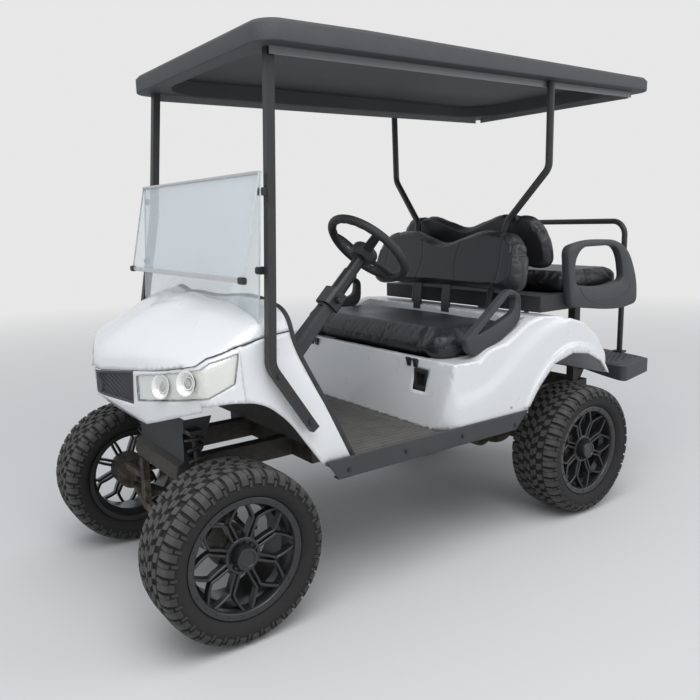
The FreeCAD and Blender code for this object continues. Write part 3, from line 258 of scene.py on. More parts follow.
def rubber():
    """Tread rubber: dark grooves, tops greyed and browned by the road."""
    g = finish_graph("tyre_rubber")
    place = g.place()
    worn = g.node("ShaderNodeAttribute", {"attribute_name": "worn"}, {}, "Fac")
    cloud = g.noise(place, 26.0, 5.0, 0.65)
    base = g.blend((worn * (0.55 + cloud * 0.7)).clamped(), rgb(0.016, 0.0155, 0.016),
                   rgb(0.078, 0.076, 0.073))
    fine = g.noise(place, 520.0, 3.0)
    return g.surface(Base_Color=base, Roughness=0.80 + cloud * 0.12,
                     Normal=g.bump(fine + cloud * 0.8, 0.0008, 0.7))


def satin_rim():
    """Satin black cast alloy, a little lighter in random clouds."""
    g = finish_graph("rim_satin")
    place = g.place()
    cloud = g.noise(place, 45.0, 4.0)
    base = g.blend(cloud, rgb(0.010, 0.010, 0.011), rgb(0.022, 0.022, 0.024))
    return g.surface(Base_Color=base, Roughness=0.30 + cloud * 0.16, Coat_Weight=0.25,
                     Coat_Roughness=0.25, Normal=g.bump(g.noise(place, 300.0, 1.0), 0.0003, 0.4))


def bare_metal(name, colour, rough, metallic=1.0):
    """Plain metal or a smooth edge: one colour, a little darker in its clouds, finely brushed."""
    g = finish_graph(name)
    place = g.place()
    cloud = g.noise(place, 60.0, 4.0)
    tint = g.blend(cloud, rgb(*np.array(colour) * 0.8), rgb(*colour))
    return g.surface(Base_Color=tint, Roughness=rough + cloud * 0.12, Metallic=metallic,
                     Normal=g.bump(g.noise(place, 380.0, 2.0), 0.0003, 0.4))


def reflector():
    """Bright lamp plating, with fine upright flutes where it isn't turned."""
    g = finish_graph("lamp_reflector")
    x, y, _ = g.parts(g.place())
    flutes = ((x * 0.6 - y) * 900.0).wave()
    cloud = g.noise(g.place(), 38.0, 3.0)
    tint = g.blend(cloud, rgb(0.88, 0.89, 0.87), rgb(0.97, 0.97, 0.94))
    return g.surface(Base_Color=tint, Roughness=0.16 + cloud * 0.10, Metallic=0.30,
                     Normal=g.bump(flutes * 0.5, 0.0005, 0.4))


def clear_sheet(name, tint, share, haze):
    """Clear acrylic: light passes straight on, and more mirrors off at a grazing angle."""
    g = finish_graph(name)
    place = g.place()
    streaks = g.noise(place, 7.0, 4.0)
    edge = g.node("ShaderNodeFresnel", {}, {"IOR": 1.45})
    passing = g.node("ShaderNodeBsdfTransparent", {}, {"Color": rgb(*tint)})
    sheet = g.node("ShaderNodeBsdfPrincipled", {}, {
        "Base Color": rgb(0.86, 0.89, 0.91), "Roughness": 0.05 + streaks * 0.08,
        "Specular IOR Level": 0.6})
    return g.mixed((share + haze * streaks + edge * 0.45).clamped(), passing, sheet)


def ribbed_mat():
    """Grey-black rubber mat with a pebbled surface between its ribs, dusty on top."""
    g = finish_graph("floor_mat_rubber")
    place = g.place()
    dust = g.noise(place, 13.0, 6.0, 0.6)
    grit = g.noise(place, 210.0, 3.0)
    base = g.blend((dust * 0.9 + grit * 0.3).clamped(), rgb(0.040, 0.040, 0.040),
                   rgb(0.135, 0.130, 0.120))
    return g.surface(Base_Color=base, Roughness=0.82 + dust * 0.1,
                     Normal=g.bump(grit, 0.0012, 0.8))


# Finishes by name; the operator of the finishes fills it.
FINISHES = {}


def build_materials(colour):
    """Every finish of the cart, by its slot in the record or by its own name."""
    return {
        "white_body": painted_body(colour),
        "black_steel": coated("black_steel", (0.013, 0.013, 0.014), (0.026, 0.026, 0.028), 0.36),
        "dirty_steel": coated("dirty_steel", (0.012, 0.012, 0.012), (0.030, 0.028, 0.026), 0.50,
                              1.0),
        "black_plastic": moulded("black_plastic", (0.013, 0.013, 0.014), (0.030, 0.030, 0.032),
                                 520.0, 0.0006, 0.52),
        "grey_plastic": moulded("grey_plastic", (0.026, 0.027, 0.030), (0.052, 0.054, 0.058),
                                420.0, 0.0008, 0.55),
        "roof_plastic": moulded("roof_plastic", (0.030, 0.031, 0.034), (0.062, 0.064, 0.070),
                                260.0, 0.0014, 0.58),
        "vinyl": vinyl(),
        "tyre": rubber(),
        "rim_black": satin_rim(),
        "guard_plastic": moulded("guard_plastic", (0.026, 0.027, 0.030), (0.048, 0.050, 0.054),
                                 600.0, 0.0004, 0.46),
        "grille_plastic": moulded("grille_plastic", (0.040, 0.042, 0.046), (0.062, 0.064, 0.069),
                                  600.0, 0.0003, 0.42),
        "grip": moulded("grip_rubber", (0.014, 0.014, 0.015), (0.030, 0.030, 0.032), 900.0,
                        0.0004, 0.50),
        "clear": clear_sheet("clear_acrylic", (0.965, 0.98, 0.985), 0.01, 0.06),
        "edge": bare_metal("acrylic_edge", (0.62, 0.68, 0.68), 0.15, 0.0),
        "lens": clear_sheet("lamp_lens", (0.995, 0.995, 0.985), 0.02, 0.02),
        "bulb": clear_sheet("bulb_glass", (0.95, 0.96, 0.92), 0.25, 0.10),
        "gasket": bare_metal("lamp_gasket", (0.30, 0.31, 0.28), 0.50, 0.0),
        "lamp": reflector(),
        "channel": bare_metal("screen_channel", (0.62, 0.63, 0.64), 0.30, 0.6),
        "rail": bare_metal("roof_rail", (0.20, 0.205, 0.21), 0.42, 0.3),
        "mat": ribbed_mat(),
        "steel": bare_metal("zinc_steel", (0.56, 0.56, 0.55), 0.28),
    }


# Stage

CAMERA_PLACE = (1.980, 2.424, 1.307)
CAMERA_YAW = -2.1988
CAMERA_PITCH = -0.1811
CAMERA_ROLL = 0.0235
CAMERA_LENS = 36.43
SENSOR = 36.0
CART_MIDDLE = (0.0, 0.0, 0.7)
FLOOR_RADIUS = 60.0
FLOOR_CORNERS = 96
# Soft lamps: name, place, side in metres and share of the lamps' power.
LAMPS = (("overhead_lamp", (1.5, 2.0, 5.0), 4.0, 1.0), ("side_lamp", (-3.5, 3.5, 3.0), 3.0, 0.3))


def linked(name, data):
    """A new object of this data, in the scene."""
    made = bpy.data.objects.new(name, data)
    bpy.context.scene.collection.objects.link(made)
    return made


def camera_turn():
    """The camera's rotation from its heading, its dip below the horizon and its roll."""
    cos_pitch = math.cos(CAMERA_PITCH)
    ahead = np.array([math.cos(CAMERA_YAW) * cos_pitch, math.sin(CAMERA_YAW) * cos_pitch,
                      math.sin(CAMERA_PITCH)])
    right = np.array([math.sin(CAMERA_YAW), -math.cos(CAMERA_YAW), 0.0])
    down = np.cross(ahead, right)
    cos_roll, sin_roll = math.cos(CAMERA_ROLL), math.sin(CAMERA_ROLL)
    right, down = cos_roll * right + sin_roll * down, cos_roll * down - sin_roll * right
    return Matrix(np.array([right, -down, -ahead]).T.tolist())


def make_camera():
    """The camera at the photograph's view."""
    data = bpy.data.cameras.new("camera")
    data.lens = CAMERA_LENS
    data.sensor_width = SENSOR
    data.clip_end = 200.0
    camera = linked("camera", data)
    camera.rotation_mode = "QUATERNION"
    camera.location = CAMERA_PLACE
    camera.rotation_quaternion = camera_turn().to_quaternion()
    bpy.context.scene.camera = camera


def soft_lamp(name, place, size, power):
    """A large square lamp aimed at the middle of the cart."""
    data = bpy.data.lights.new(name, "AREA")
    data.shape = "SQUARE"
    data.size = size
    data.energy = power
    lamp = linked(name, data)
    lamp.location = place
    aim = Vector(CART_MIDDLE) - Vector(place)
    lamp.rotation_mode = "QUATERNION"
    lamp.rotation_quaternion = aim.to_track_quat("-Z", "Y")


def make_world(background, level):
    """Even sky light; the camera sees the plain pale background instead, through glass too."""
    g = Graph(bpy.data.worlds.new("sky"), "ShaderNodeOutputWorld")
    seen_through = [g.node("ShaderNodeLightPath", {}, {}, ray)
                    for ray in ("Is Camera Ray", "Is Transmission Ray")]
    light = g.node("ShaderNodeBackground", {}, {"Color": rgb(0.93, 0.96, 1.0), "Strength": level})
    seen = g.node("ShaderNodeBackground", {}, {"Color": grey(background)})
    bpy.context.scene.world = g.mixed(g.math("MAXIMUM", *seen_through), light, seen)


def make_floor(background):
    """A round floor: it keeps the cart's shadow near by and fades to the background far off."""
    rim = circle(FLOOR_RADIUS, FLOOR_CORNERS)
    mesh = bpy.data.meshes.new("studio_floor")
    mesh.from_pydata(np.concatenate([rim, rim[:, :1] * 0], 1).tolist(), [],
                     [list(range(FLOOR_CORNERS))])
    g = finish_graph("studio_floor")
    x, y, _ = g.parts(g.place())
    distance = (x * x + y * y) ** 0.5
    near = g.node("ShaderNodeBsdfDiffuse", {}, {"Color": grey(0.62)})
    far = g.node("ShaderNodeEmission", {}, {"Color": grey(background), "Strength": 1.0})
    mesh.materials.append(g.mixed(distance.above(6.0, 7.0), near, far))
    linked("studio_floor", mesh)


class CartColours(bpy.types.PropertyGroup):
    """Colours that a user would change."""
    body: bpy.props.FloatVectorProperty(
        name="Body colour", description="Gel coat of the hood, fascia and rear body",
        subtype="COLOR", size=3, default=(0.70, 0.715, 0.73), min=0.0, max=1.0)


class CartSizes(bpy.types.PropertyGroup):
    """Sizes of the soft and the fine pieces."""
    swell: bpy.props.FloatProperty(
        name="Cushion swell", description="How far the padding may swell out of the cushions",
        subtype="DISTANCE", unit="LENGTH", default=0.024, min=0.0)
    wire_pitch: bpy.props.FloatProperty(
        name="Grille pitch", description="Distance from wire to wire across the grille",
        subtype="DISTANCE", unit="LENGTH", default=0.028, min=0.01)
    rib_pitch: bpy.props.FloatProperty(
        name="Mat pitch", description="Distance from rib to rib across the floor mat",
        subtype="DISTANCE", unit="LENGTH", default=0.026, min=0.014)


class CartStage(bpy.types.PropertyGroup):
    """Light and background of the studio."""
    background: bpy.props.FloatProperty(
        name="Background", description="Brightness of the plain background",
        subtype="FACTOR", default=0.80, min=0.0, max=1.0)
    sky: bpy.props.FloatProperty(
        name="Sky", description="Strength of the even light from all round",
        subtype="FACTOR", default=0.73, min=0.0, max=1.0)
    lamp_power: bpy.props.FloatProperty(
        name="Lamps", description="Power of the overhead lamp",
        subtype="POWER", unit="POWER", default=160.0, min=0.0)


# Forms

def joined(forms):
    """Several (points, faces) forms as one: each form's face numbers move up past the points before it."""
    points, faces, start = [], [], 0
    for form_points, form_faces in forms:
        points.append(form_points)
        for block in form_faces:
            faces.append(np.asarray(block) + start)
        start += len(form_points)
    return np.concatenate(points), faces


def sheet_grid(spots, wrap_rows=False, wrap_columns=False):
    """Quads over a grid of points: rows first, then columns; a wrapped side closes on itself."""
    rows, columns = spots.shape[:2]
    numbers = np.arange(rows * columns).reshape(rows, columns)
    if wrap_rows:
        numbers = np.concatenate([numbers, numbers[:1]], 0)
    if wrap_columns:
        numbers = np.concatenate([numbers, numbers[:, :1]], 1)
    quads = np.stack([numbers[:-1, :-1], numbers[:-1, 1:], numbers[1:, 1:], numbers[1:, :-1]], -1)
    return spots.reshape(-1, 3), [quads.reshape(-1, 4)]


def capped(spots):
    """Rows of closed rings joined in turn, with the first and last ring filled."""
    points, faces = sheet_grid(spots, wrap_columns=True)
    count = spots.shape[1]
    first = np.arange(count)[None, ::-1]
    last = (np.arange(count) + len(points) - count)[None]
    return points, faces + [first, last]


def rounded(corners, radius, steps=6, closed=True):
    """A path whose corners are quadratic curves: (1-t)^2 A + 2t(1-t) B + t^2 C, with A and C
    on the runs beside the corner B, at most the radius away from it."""
    corners = np.asarray(corners, float)
    before, after = np.roll(corners, 1, 0), np.roll(corners, -1, 0)
    reach = np.broadcast_to(np.asarray(radius, float), len(corners))[:, None]
    into, out = before - corners, after - corners
    long_in = np.linalg.norm(into, axis=1, keepdims=True)
    long_out = np.linalg.norm(out, axis=1, keepdims=True)
    start = corners + into * np.minimum(reach / long_in, 0.49)
    end = corners + out * np.minimum(reach / long_out, 0.49)
    t = np.linspace(0, 1, steps)[None, :, None]
    curve = ((1 - t) ** 2 * start[:, None] + 2 * t * (1 - t) * corners[:, None]
             + t ** 2 * end[:, None])
    if closed:
        return curve.reshape(-1, corners.shape[1])
    inner = curve[1:-1].reshape(-1, corners.shape[1])
    return np.concatenate([corners[:1], inner, corners[-1:]])


def smooth_line(spots, per=8):
    """An open Catmull-Rom line through the points: on each run the cubic whose slopes are half
    the difference of the points on both sides."""
    spots = np.asarray(spots, float)
    p = np.concatenate([2 * spots[:1] - spots[1:2], spots, 2 * spots[-1:] - spots[-2:-1]])
    t = np.linspace(0, 1, per, endpoint=False)[None, :, None]
    a, b, c, d = p[:-3, None], p[1:-2, None], p[2:-1, None], p[3:, None]
    curve = 0.5 * (2 * b + (c - a) * t + (2 * a - 5 * b + 4 * c - d) * t ** 2
                   + (3 * b - a - 3 * c + d) * t ** 3)
    return np.concatenate([curve.reshape(-1, spots.shape[1]), spots[-1:]])


def spread(path, count, closed=False):
    """The path again, with count points at even steps of its length."""
    path = np.asarray(path, float)
    if closed:
        path = np.concatenate([path, path[:1]])
    run = np.concatenate([[0], np.cumsum(np.linalg.norm(np.diff(path, axis=0), axis=1))])
    at = np.linspace(0, run[-1], count, endpoint=not closed)
    return np.stack([np.interp(at, run, path[:, i]) for i in range(path.shape[1])], 1)


def directions(path, closed=False):
    """Unit tangents of a path, from the points before and after each point."""
    if closed:
        way = np.roll(path, -1, 0) - np.roll(path, 1, 0)
    else:
        way = np.gradient(path, axis=0)
    return way / np.linalg.norm(way, axis=1, keepdims=True)


def swept(path, section, up, closed=False, scale=1.0):
    """A section carried along a path: point = path + k (u (tangent x up) + v up'), where up' is
    square to the tangent and k is the scale there. The section's points are (u, v)."""
    path = np.asarray(path, float)
    way = directions(path, closed)
    side = np.cross(way, np.asarray(up, float))
    side /= np.linalg.norm(side, axis=1, keepdims=True)
    rise = np.cross(side, way)
    section = np.asarray(section, float)
    side, rise = side * scale, rise * scale
    spots = (path[:, None] + side[:, None] * section[None, :, :1]
             + rise[:, None] * section[None, :, 1:])
    if closed:
        return sheet_grid(spots, True, True)
    return capped(spots)


def circle(radius, count=16):
    """Points (u, v) = radius (cos a, sin a)."""
    a = np.linspace(0, 2 * np.pi, count, endpoint=False)
    return np.stack([np.cos(a), np.sin(a)], 1) * radius


def blocky(width, height, bevel):
    """A rectangle about (0, 0) whose four corners are cut off."""
    w, h = width / 2, height / 2
    return np.array([(w, h - bevel), (w - bevel, h), (bevel - w, h), (-w, h - bevel),
                     (-w, bevel - h), (bevel - w, -h), (w - bevel, -h), (w, bevel - h)])


def lathed(profile, centre, axis=(0, 1, 0), count=64, closed=False):
    """A profile turned round an axis: point = centre + d axis + r (cos a u + sin a w), where
    the profile's points are (d, r)."""
    profile = np.asarray(profile, float)
    axis = np.asarray(axis, float) / np.linalg.norm(axis)
    u = np.cross(axis, (0.0, 0.0, 1.0) if abs(axis[2]) < 0.9 else (1.0, 0.0, 0.0))
    u /= np.linalg.norm(u)
    w = np.cross(axis, u)
    a = np.linspace(0, 2 * np.pi, count, endpoint=False)
    ring = np.cos(a)[:, None] * u + np.sin(a)[:, None] * w
    spots = (np.asarray(centre, float) + profile[:, None, :1] * axis
             + profile[:, None, 1:] * ring[None])
    return sheet_grid(spots, closed, True) if closed else capped(spots)


def in_plane(flat, depth, plane):
    """Points (u, v) and a depth as points of space; plane names the axes of u, v and depth."""
    columns = {plane[0]: flat[..., 0], plane[1]: flat[..., 1],
               plane[2]: np.broadcast_to(depth, flat.shape[:-1])}
    return np.stack([columns["x"], columns["y"], columns["z"]], -1)


def turns_left(outline):
    """Whether a closed outline runs round to the left: the sign of its area."""
    x, y = outline.T
    return np.sum(x * np.roll(y, -1) - np.roll(x, -1) * y) > 0


def outward(outline):
    """Unit normals of a closed outline, away from its inside."""
    way = directions(outline, True)
    normal = np.stack([way[:, 1], -way[:, 0]], 1)
    return normal if turns_left(outline) else -normal


def slab(outline, low, high, plane, bevel=0.002, steps=3):
    """A plate with rounded edges: the outline is let in by bevel (1 - cos a) and raised by
    bevel sin a over each edge, for a from 0 to a right angle."""
    outline = np.asarray(outline, float)
    normal = outward(outline)
    a = np.linspace(np.pi / 2, 0, steps)
    inset = bevel * (1 - np.cos(a))
    rise = bevel * (1 - np.sin(a))
    insets = np.concatenate([inset, inset[::-1]])
    depths = np.concatenate([low + rise, high - rise[::-1]])
    flat = outline[None] - normal[None] * insets[:, None, None]
    spots = in_plane(flat, depths[:, None], plane)
    return capped(spots)


def ring_slab(outer, inner, low, high, plane, bevel=0.002, count=160):
    """A plate with a hole: outer and inner outline, both at even steps from the same side, joined
    by a section with cut-off corners."""
    outer, inner = spread(outer, count, True), spread(inner, count, True)
    if turns_left(outer) != turns_left(inner):
        inner = inner[::-1]
    start = np.argmin(np.linalg.norm(inner - outer[0], axis=1))
    inner = np.roll(inner, -start, 0)
    out, within = outward(outer), -outward(inner)
    rings = []
    for line, normal, order in ((outer, out, 1), (inner, within, -1)):
        steps = [(bevel, low), (0.3 * bevel, low + 0.3 * bevel), (0.0, low + bevel),
                 (0.0, high - bevel), (0.3 * bevel, high - 0.3 * bevel), (bevel, high)][::order]
        rings += [in_plane(line - normal * inset, depth, plane) for inset, depth in steps]
    return sheet_grid(np.stack(rings), True, True)


def mesh_of(name, form, marks=None):
    """A mesh of a form, with its marks; doubles are merged and every face is turned outwards."""
    points, faces = form
    mesh = bpy.data.meshes.new(name)
    mesh.from_pydata(points.tolist(), [], [row for block in faces for row in block.tolist()])
    if marks is not None:
        layer = mesh.attributes.new("worn", "FLOAT", "POINT")
        layer.data.foreach_set("value", marks.astype(np.float32))
    work = bmesh.new()
    work.from_mesh(mesh)
    bmesh.ops.remove_doubles(work, verts=work.verts, dist=0.00001)
    bmesh.ops.recalc_face_normals(work, faces=work.faces)
    work.to_mesh(mesh)
    work.free()
    return mesh


def smoothed(mesh, angle):
    """Smooth shading, but for edges that turn by more than this angle in degrees."""
    mesh.shade_smooth()
    mesh.set_sharp_from_angle(angle=math.radians(angle))


def piece(name, form, finish, body, replaces=(), angle=35, marks=None):
    """Makes a mesh object of a form, with its finish, smoothed up to an angle, riding on a body."""
    mesh = mesh_of(name, form, marks)
    mesh.materials.append(FINISHES[finish])
    smoothed(mesh, angle)
    made = linked(name, mesh)
    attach(made, body)
    if replaces:
        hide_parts(*replaces)
    return made


def mirrored(form):
    """The form's mirror image across the middle plane."""
    points, faces = form
    return points * (1, -1, 1), [block[:, ::-1] for block in faces]


def pair(form):
    """The form and its mirror image."""
    return joined([form, mirrored(form)])


def moved(form, shift):
    """The form at another place."""
    return form[0] + np.asarray(shift, float), form[1]


# Tyres

# Half of the carcass's outside, from the middle of the tread to the bead: (y, radius).
CARCASS = ((0.0, 0.2745), (0.040, 0.2742), (0.078, 0.2725), (0.096, 0.2680), (0.1075, 0.2580),
           (0.1130, 0.2440), (0.1135, 0.2300), (0.1095, 0.2150), (0.1000, 0.2030),
           (0.0925, 0.1990), (0.0912, 0.1935), (0.0905, 0.1845))
PITCHES = 36
# Lugs of one half of the tread for one pitch. s0 to s1: place across the tread, from the middle;
# the four t: ends round the tread at s0 and at s1, in pitches; bend: how far its middle leans.
LUGS = (
    # s0, s1, t0_in, t1_in, t0_out, t1_out, bend, height
    (0.0022, 0.0150, 0.06, 0.72, 0.00, 0.62, 0.05, 0.0085),
    (0.0175, 0.0300, 0.02, 0.60, -0.12, 0.48, -0.05, 0.0085),
    (0.0345, 0.0610, 0.26, 0.84, 0.12, 0.72, 0.06, 0.0087),
    (0.0480, 0.0500, 0.20, 0.24, 0.20, 0.24, 0.00, 0.0030),
    (0.0660, 0.1270, -0.10, 0.36, -0.16, 0.40, -0.05, 0.0078),
    (0.0660, 0.1110, 0.50, 0.80, 0.50, 0.80, 0.04, 0.0074),
    (0.1140, 0.1340, 0.52, 0.76, 0.54, 0.74, 0.00, 0.0040),
)


def carcass_line():
    """The outside line of the carcass as (y, r) with its lengths from the middle and normals."""
    line = spread(smooth_line(CARCASS, 10), 90)
    run = np.concatenate([[0], np.cumsum(np.linalg.norm(np.diff(line, axis=0), axis=1))])
    way = directions(line)
    return line, run, np.stack([-way[:, 1], way[:, 0]], 1)


def on_wheel(y, radius, angle, side):
    """Points of a wheel at the origin: angle round the axle, y outwards on this side."""
    return np.stack([radius * np.sin(angle), side * y, radius * np.cos(angle)], -1)


def lug_forms(side):
    """Every lug is a patch of a grid (a, b). Its place across is s0 + a (s1 - s0), its place round
    is the mix of its four ends plus bend 4 a (1 - a), and its height is 0 on the patch's border
    and full inside it."""
    line, run, normal = carcass_line()
    table = np.array(LUGS)
    a = np.array([0, 0.045, 0.28, 0.52, 0.76, 0.955, 1.0])[None, None, :, None]
    b = np.array([0, 0.055, 0.5, 0.945, 1.0])[None, None, None, :]
    s0, s1, near0, near1, far0, far1, bend, height = [
        table[:, i][:, None, None, None] for i in range(8)]
    turn = np.arange(PITCHES)[None, :, None, None]
    s = s0 + a * (s1 - s0) + 0 * (turn + b)
    t = (near0 + a * (far0 - near0)) * (1 - b) + (near1 + a * (far1 - near1)) * b
    t = t + bend * 4 * a * (1 - a) + turn + (0.5 if side < 0 else 0.0)
    inside = (a > 0) & (a < 1) & (b > 0) & (b < 1)
    rise = np.where(inside, height, -0.0015) + 0 * s
    y = np.interp(s, run, line[:, 0]) + np.interp(s, run, normal[:, 0]) * rise
    r = np.interp(s, run, line[:, 1]) + np.interp(s, run, normal[:, 1]) * rise
    spots = on_wheel(y, r, t * 2 * np.pi / PITCHES, side)
    count = spots.shape[0] * spots.shape[1]
    patch = spots.reshape(count, *spots.shape[2:])
    rows, columns = patch.shape[1:3]
    quads = sheet_grid(patch[0])[1][0]
    faces = (quads[None] + (np.arange(count) * rows * columns)[:, None, None]).reshape(-1, 4)
    worn = (inside & (s < 0.10)).astype(float) + 0.45 * (inside & (s >= 0.10))
    return (patch.reshape(-1, 3), [faces]), worn.reshape(-1)


def tyre_form():
    """Carcass turned round the axle from bead to bead, and the lugs on both halves of it."""
    line = carcass_line()[0]
    inner = np.array([(0.0905, 0.1845), (0.058, 0.1845), (0.038, 0.166)])
    outer = np.concatenate([inner[::-1], line[::-1], line[1:] * (-1, 1), inner * (-1, 1)])
    shell = lathed(outer, (0, 0, 0), count=144, closed=True)
    marks = [np.zeros(len(shell[0]))]
    forms = [shell]
    for side in (1, -1):
        lugs, worn = lug_forms(side)
        forms.append(lugs)
        marks.append(worn)
    return joined(forms), np.concatenate(marks)


# Rims

LIP_BOLTS = 24
SPOKES = 8
# One of the two ribs of a spoke, from the hub to the lip: radius, angle off the spoke, height.
RIB = ((0.048, 11.0, 0.066), (0.066, 7.6, 0.0685), (0.094, 5.4, 0.0700), (0.121, 3.4, 0.0730),
       (0.127, 4.2, 0.0740), (0.150, 11.0, 0.0790), (0.1775, 18.6, 0.0860))
RIB_WIDTH = 0.0092
RIB_DEPTH = 0.024


def rib_forms(side):
    """Ribs: a chamfered section carried along (radius, angle, height), for both ribs of each spoke."""
    rib = smooth_line(np.array(RIB) * (1, np.pi / 180, 1), 5)
    half = RIB_WIDTH / 2
    section = np.array([(half * 1.15, -RIB_DEPTH), (half, -0.0022), (half - 0.002, 0.0),
                        (0.002 - half, 0.0), (-half, -0.0022), (-half * 1.15, -RIB_DEPTH)])
    forms = []
    for spoke in range(SPOKES):
        middle = (spoke + 0.5) * 2 * np.pi / SPOKES
        for hand in (1, -1):
            path = on_wheel(rib[:, 2], rib[:, 0], middle + hand * rib[:, 1], side)
            forms.append(swept(path, section[::side], (0, side, 0)))
    return forms


def rim_forms(side):
    """Barrel and lip as one turned ring, a hub disc with nut wells, ribs, lip bolts and a cap."""
    barrel = [(0.098, 0.1945), (0.0965, 0.1972), (0.094, 0.1978), (0.0915, 0.1955), (0.091, 0.1838),
              (0.058, 0.1838), (0.038, 0.1638), (-0.048, 0.1638), (-0.062, 0.1838), (-0.091, 0.1838),
              (-0.0915, 0.1955), (-0.094, 0.1978), (-0.098, 0.1960), (-0.098, 0.180),
              (-0.064, 0.1778), (-0.050, 0.1578), (0.036, 0.1578), (0.052, 0.1715), (0.078, 0.1715),
              (0.0900, 0.1735), (0.0945, 0.1760), (0.0960, 0.1785), (0.0966, 0.1900)]
    forms = [lathed(np.array(barrel) * (side, 1), (0, 0, 0), count=96, closed=True)]
    hub = [(0.042, 0.0), (0.042, 0.060), (0.060, 0.062), (0.0665, 0.0600), (0.0690, 0.0570),
           (0.0690, 0.0500), (0.0610, 0.0485), (0.0610, 0.0395), (0.074, 0.0385), (0.094, 0.0370),
           (0.0985, 0.0345), (0.0998, 0.0310), (0.0998, 0.0265), (0.0965, 0.0245), (0.0950, 0.0)]
    forms.append(lathed(np.array(hub) * (side, 1), (0, 0, 0), count=64))
    forms += rib_forms(side)
    forms += studs(side, LIP_BOLTS, 0.1840, 0.0950, 0.0042, 0.0035, 12)
    forms += studs(side, 12, 0.0440, 0.0560, 0.0036, 0.0125, 12)
    return joined(forms)


def studs(side, count, radius, low, size, height, facets):
    """Bolt heads in a ring round the axle: short turned studs with a rounded edge."""
    profile = np.array([(0, size), (height * 0.7, size), (height, size * 0.72), (height, 0.0)])
    forms = []
    for i in range(count):
        angle = (i + 0.5) * 2 * np.pi / count
        spot = on_wheel(low, radius, angle, side)
        forms.append(lathed(profile * (side, 1), spot, count=facets))
    return forms


# Wheels by name, with the side of the cart that each looks to.
WHEELS = {"front_left": 1, "front_right": -1, "rear_left": 1, "rear_right": -1}


def make_wheels():
    """A tyre and a rim for each wheel, at the place of the joint that it spins about."""
    tread, marks = tyre_form()
    for name, side in WHEELS.items():
        place = JOINTS[f"spin_{name}"]["pos_m"]
        piece(f"tyre_{name}_tread", moved(tread, place), "tyre", f"wheel_{name}",
              [f"tyre_{name}"], 25, marks)
        piece(f"rim_{name}_spokes", moved(rim_forms(side), place), "rim_black", f"wheel_{name}",
              [f"rim_{name}"], 30)


# Seats

VOXEL = 0.008
PRESSURE = 4.0
CLOTH_FRAMES = 14
ROUND_STEPS = 5
# Sitting hollows: half their length and width, how far they lie off the middle, and the height
# over the cushion's foot at which they have their full depth.
HOLLOW_REACH = (0.13, 0.17)
HOLLOW_OFF = 0.25
HOLLOW_HEIGHT = 0.08
SEAM_WIDTH = 0.0035
# Backrests: piece, node, foot as (x, z), lean in degrees, height, thickness, side that it faces
# (1 is forward) and half width.
BACKRESTS = (
    ("front_backrest_vinyl", "front_seat_back", (-0.268, 0.985), 15, 0.300, 0.072, 1, 0.500),
    ("rear_backrest_vinyl", "rear_seat_back", (-0.553, 1.075), -8, 0.268, 0.062, -1, 0.488),
)


def inflated(name, form, swell):
    """A cushion as cloth: the form is remeshed to even voxels, blown up by pressure with no
    gravity, and no point moves further than the swell. Then each face is divided once."""
    made = linked(name, mesh_of(name, form))
    scene = bpy.context.scene
    remesh = made.modifiers.new("even_voxels", "REMESH")
    remesh.mode = "VOXEL"
    remesh.voxel_size = VOXEL
    applied(made)
    before = coordinates(made.data)
    cloth = made.modifiers.new("cloth", "CLOTH")
    cloth.settings.use_pressure = True
    cloth.settings.uniform_pressure_force = PRESSURE
    cloth.settings.effector_weights.gravity = 0.0
    cloth.settings.quality = 4
    cloth.settings.tension_stiffness = 12
    cloth.settings.compression_stiffness = 12
    cloth.settings.bending_stiffness = 0.6
    for step in range(CLOTH_FRAMES):
        scene.frame_set(step + 1)
    applied(made)
    move = coordinates(made.data) - before
    far = np.linalg.norm(move, axis=1, keepdims=True)
    write_back(made.data, before + move * np.minimum(1.0, swell / np.maximum(far, 1e-9)))
    scene.frame_set(1)
    finer = made.modifiers.new("subdivision", "SUBSURF")
    finer.levels = finer.render_levels = 1
    applied(made)
    return made


def applied(made):
    """Takes the object's modifiers into its mesh."""
    graph = bpy.context.evaluated_depsgraph_get()
    mesh = bpy.data.meshes.new_from_object(made.evaluated_get(graph))
    made.modifiers.clear()
    made.data = mesh


def coordinates(mesh):
    """The points of a mesh."""
    spots = np.empty(len(mesh.vertices) * 3, np.float32)
    mesh.vertices.foreach_get("co", spots)
    return spots.reshape(-1, 3).astype(float)


def write_back(mesh, spots):
    """Moves the points of a mesh."""
    mesh.vertices.foreach_set("co", spots.astype(np.float32).reshape(-1))
    mesh.update()


def normals_of(mesh):
    """The normals at the points of a mesh."""
    spots = np.empty(len(mesh.vertices) * 3, np.float32)
    mesh.vertices.foreach_get("normal", spots)
    return spots.reshape(-1, 3).astype(float)


def gap_to_line(spots, line):
    """Distance from each point to a polyline, as the least over its runs."""
    a, b = line[:-1], line[1:]
    way = b - a
    t = np.clip(((spots[:, None] - a) * way).sum(-1) / (way * way).sum(-1), 0, 1)
    return np.linalg.norm(a + t[..., None] * way - spots[:, None], axis=-1).min(1)


def sewn(made, lines, depth, width):
    """Seams: each point sinks along its normal by depth exp(-(d / width)^2) at distance d from
    the nearest seam line."""
    spots, normal = coordinates(made.data), normals_of(made.data)
    sink = np.zeros(len(spots))
    for line in lines:
        near = np.where((np.abs(spots - line.mean(0)) < np.ptp(line, axis=0) / 2 + 0.03).all(1))[0]
        gap = gap_to_line(spots[near], line)
        sink[near] = np.maximum(sink[near], depth * np.exp(-(gap / width) ** 2))
    write_back(made.data, spots - normal * sink[:, None])


def seat_finished(made, body, node):
    made.data.materials.clear()
    made.data.materials.append(FINISHES["vinyl"])
    made.data.shade_smooth()
    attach(made, body)
    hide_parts(node)


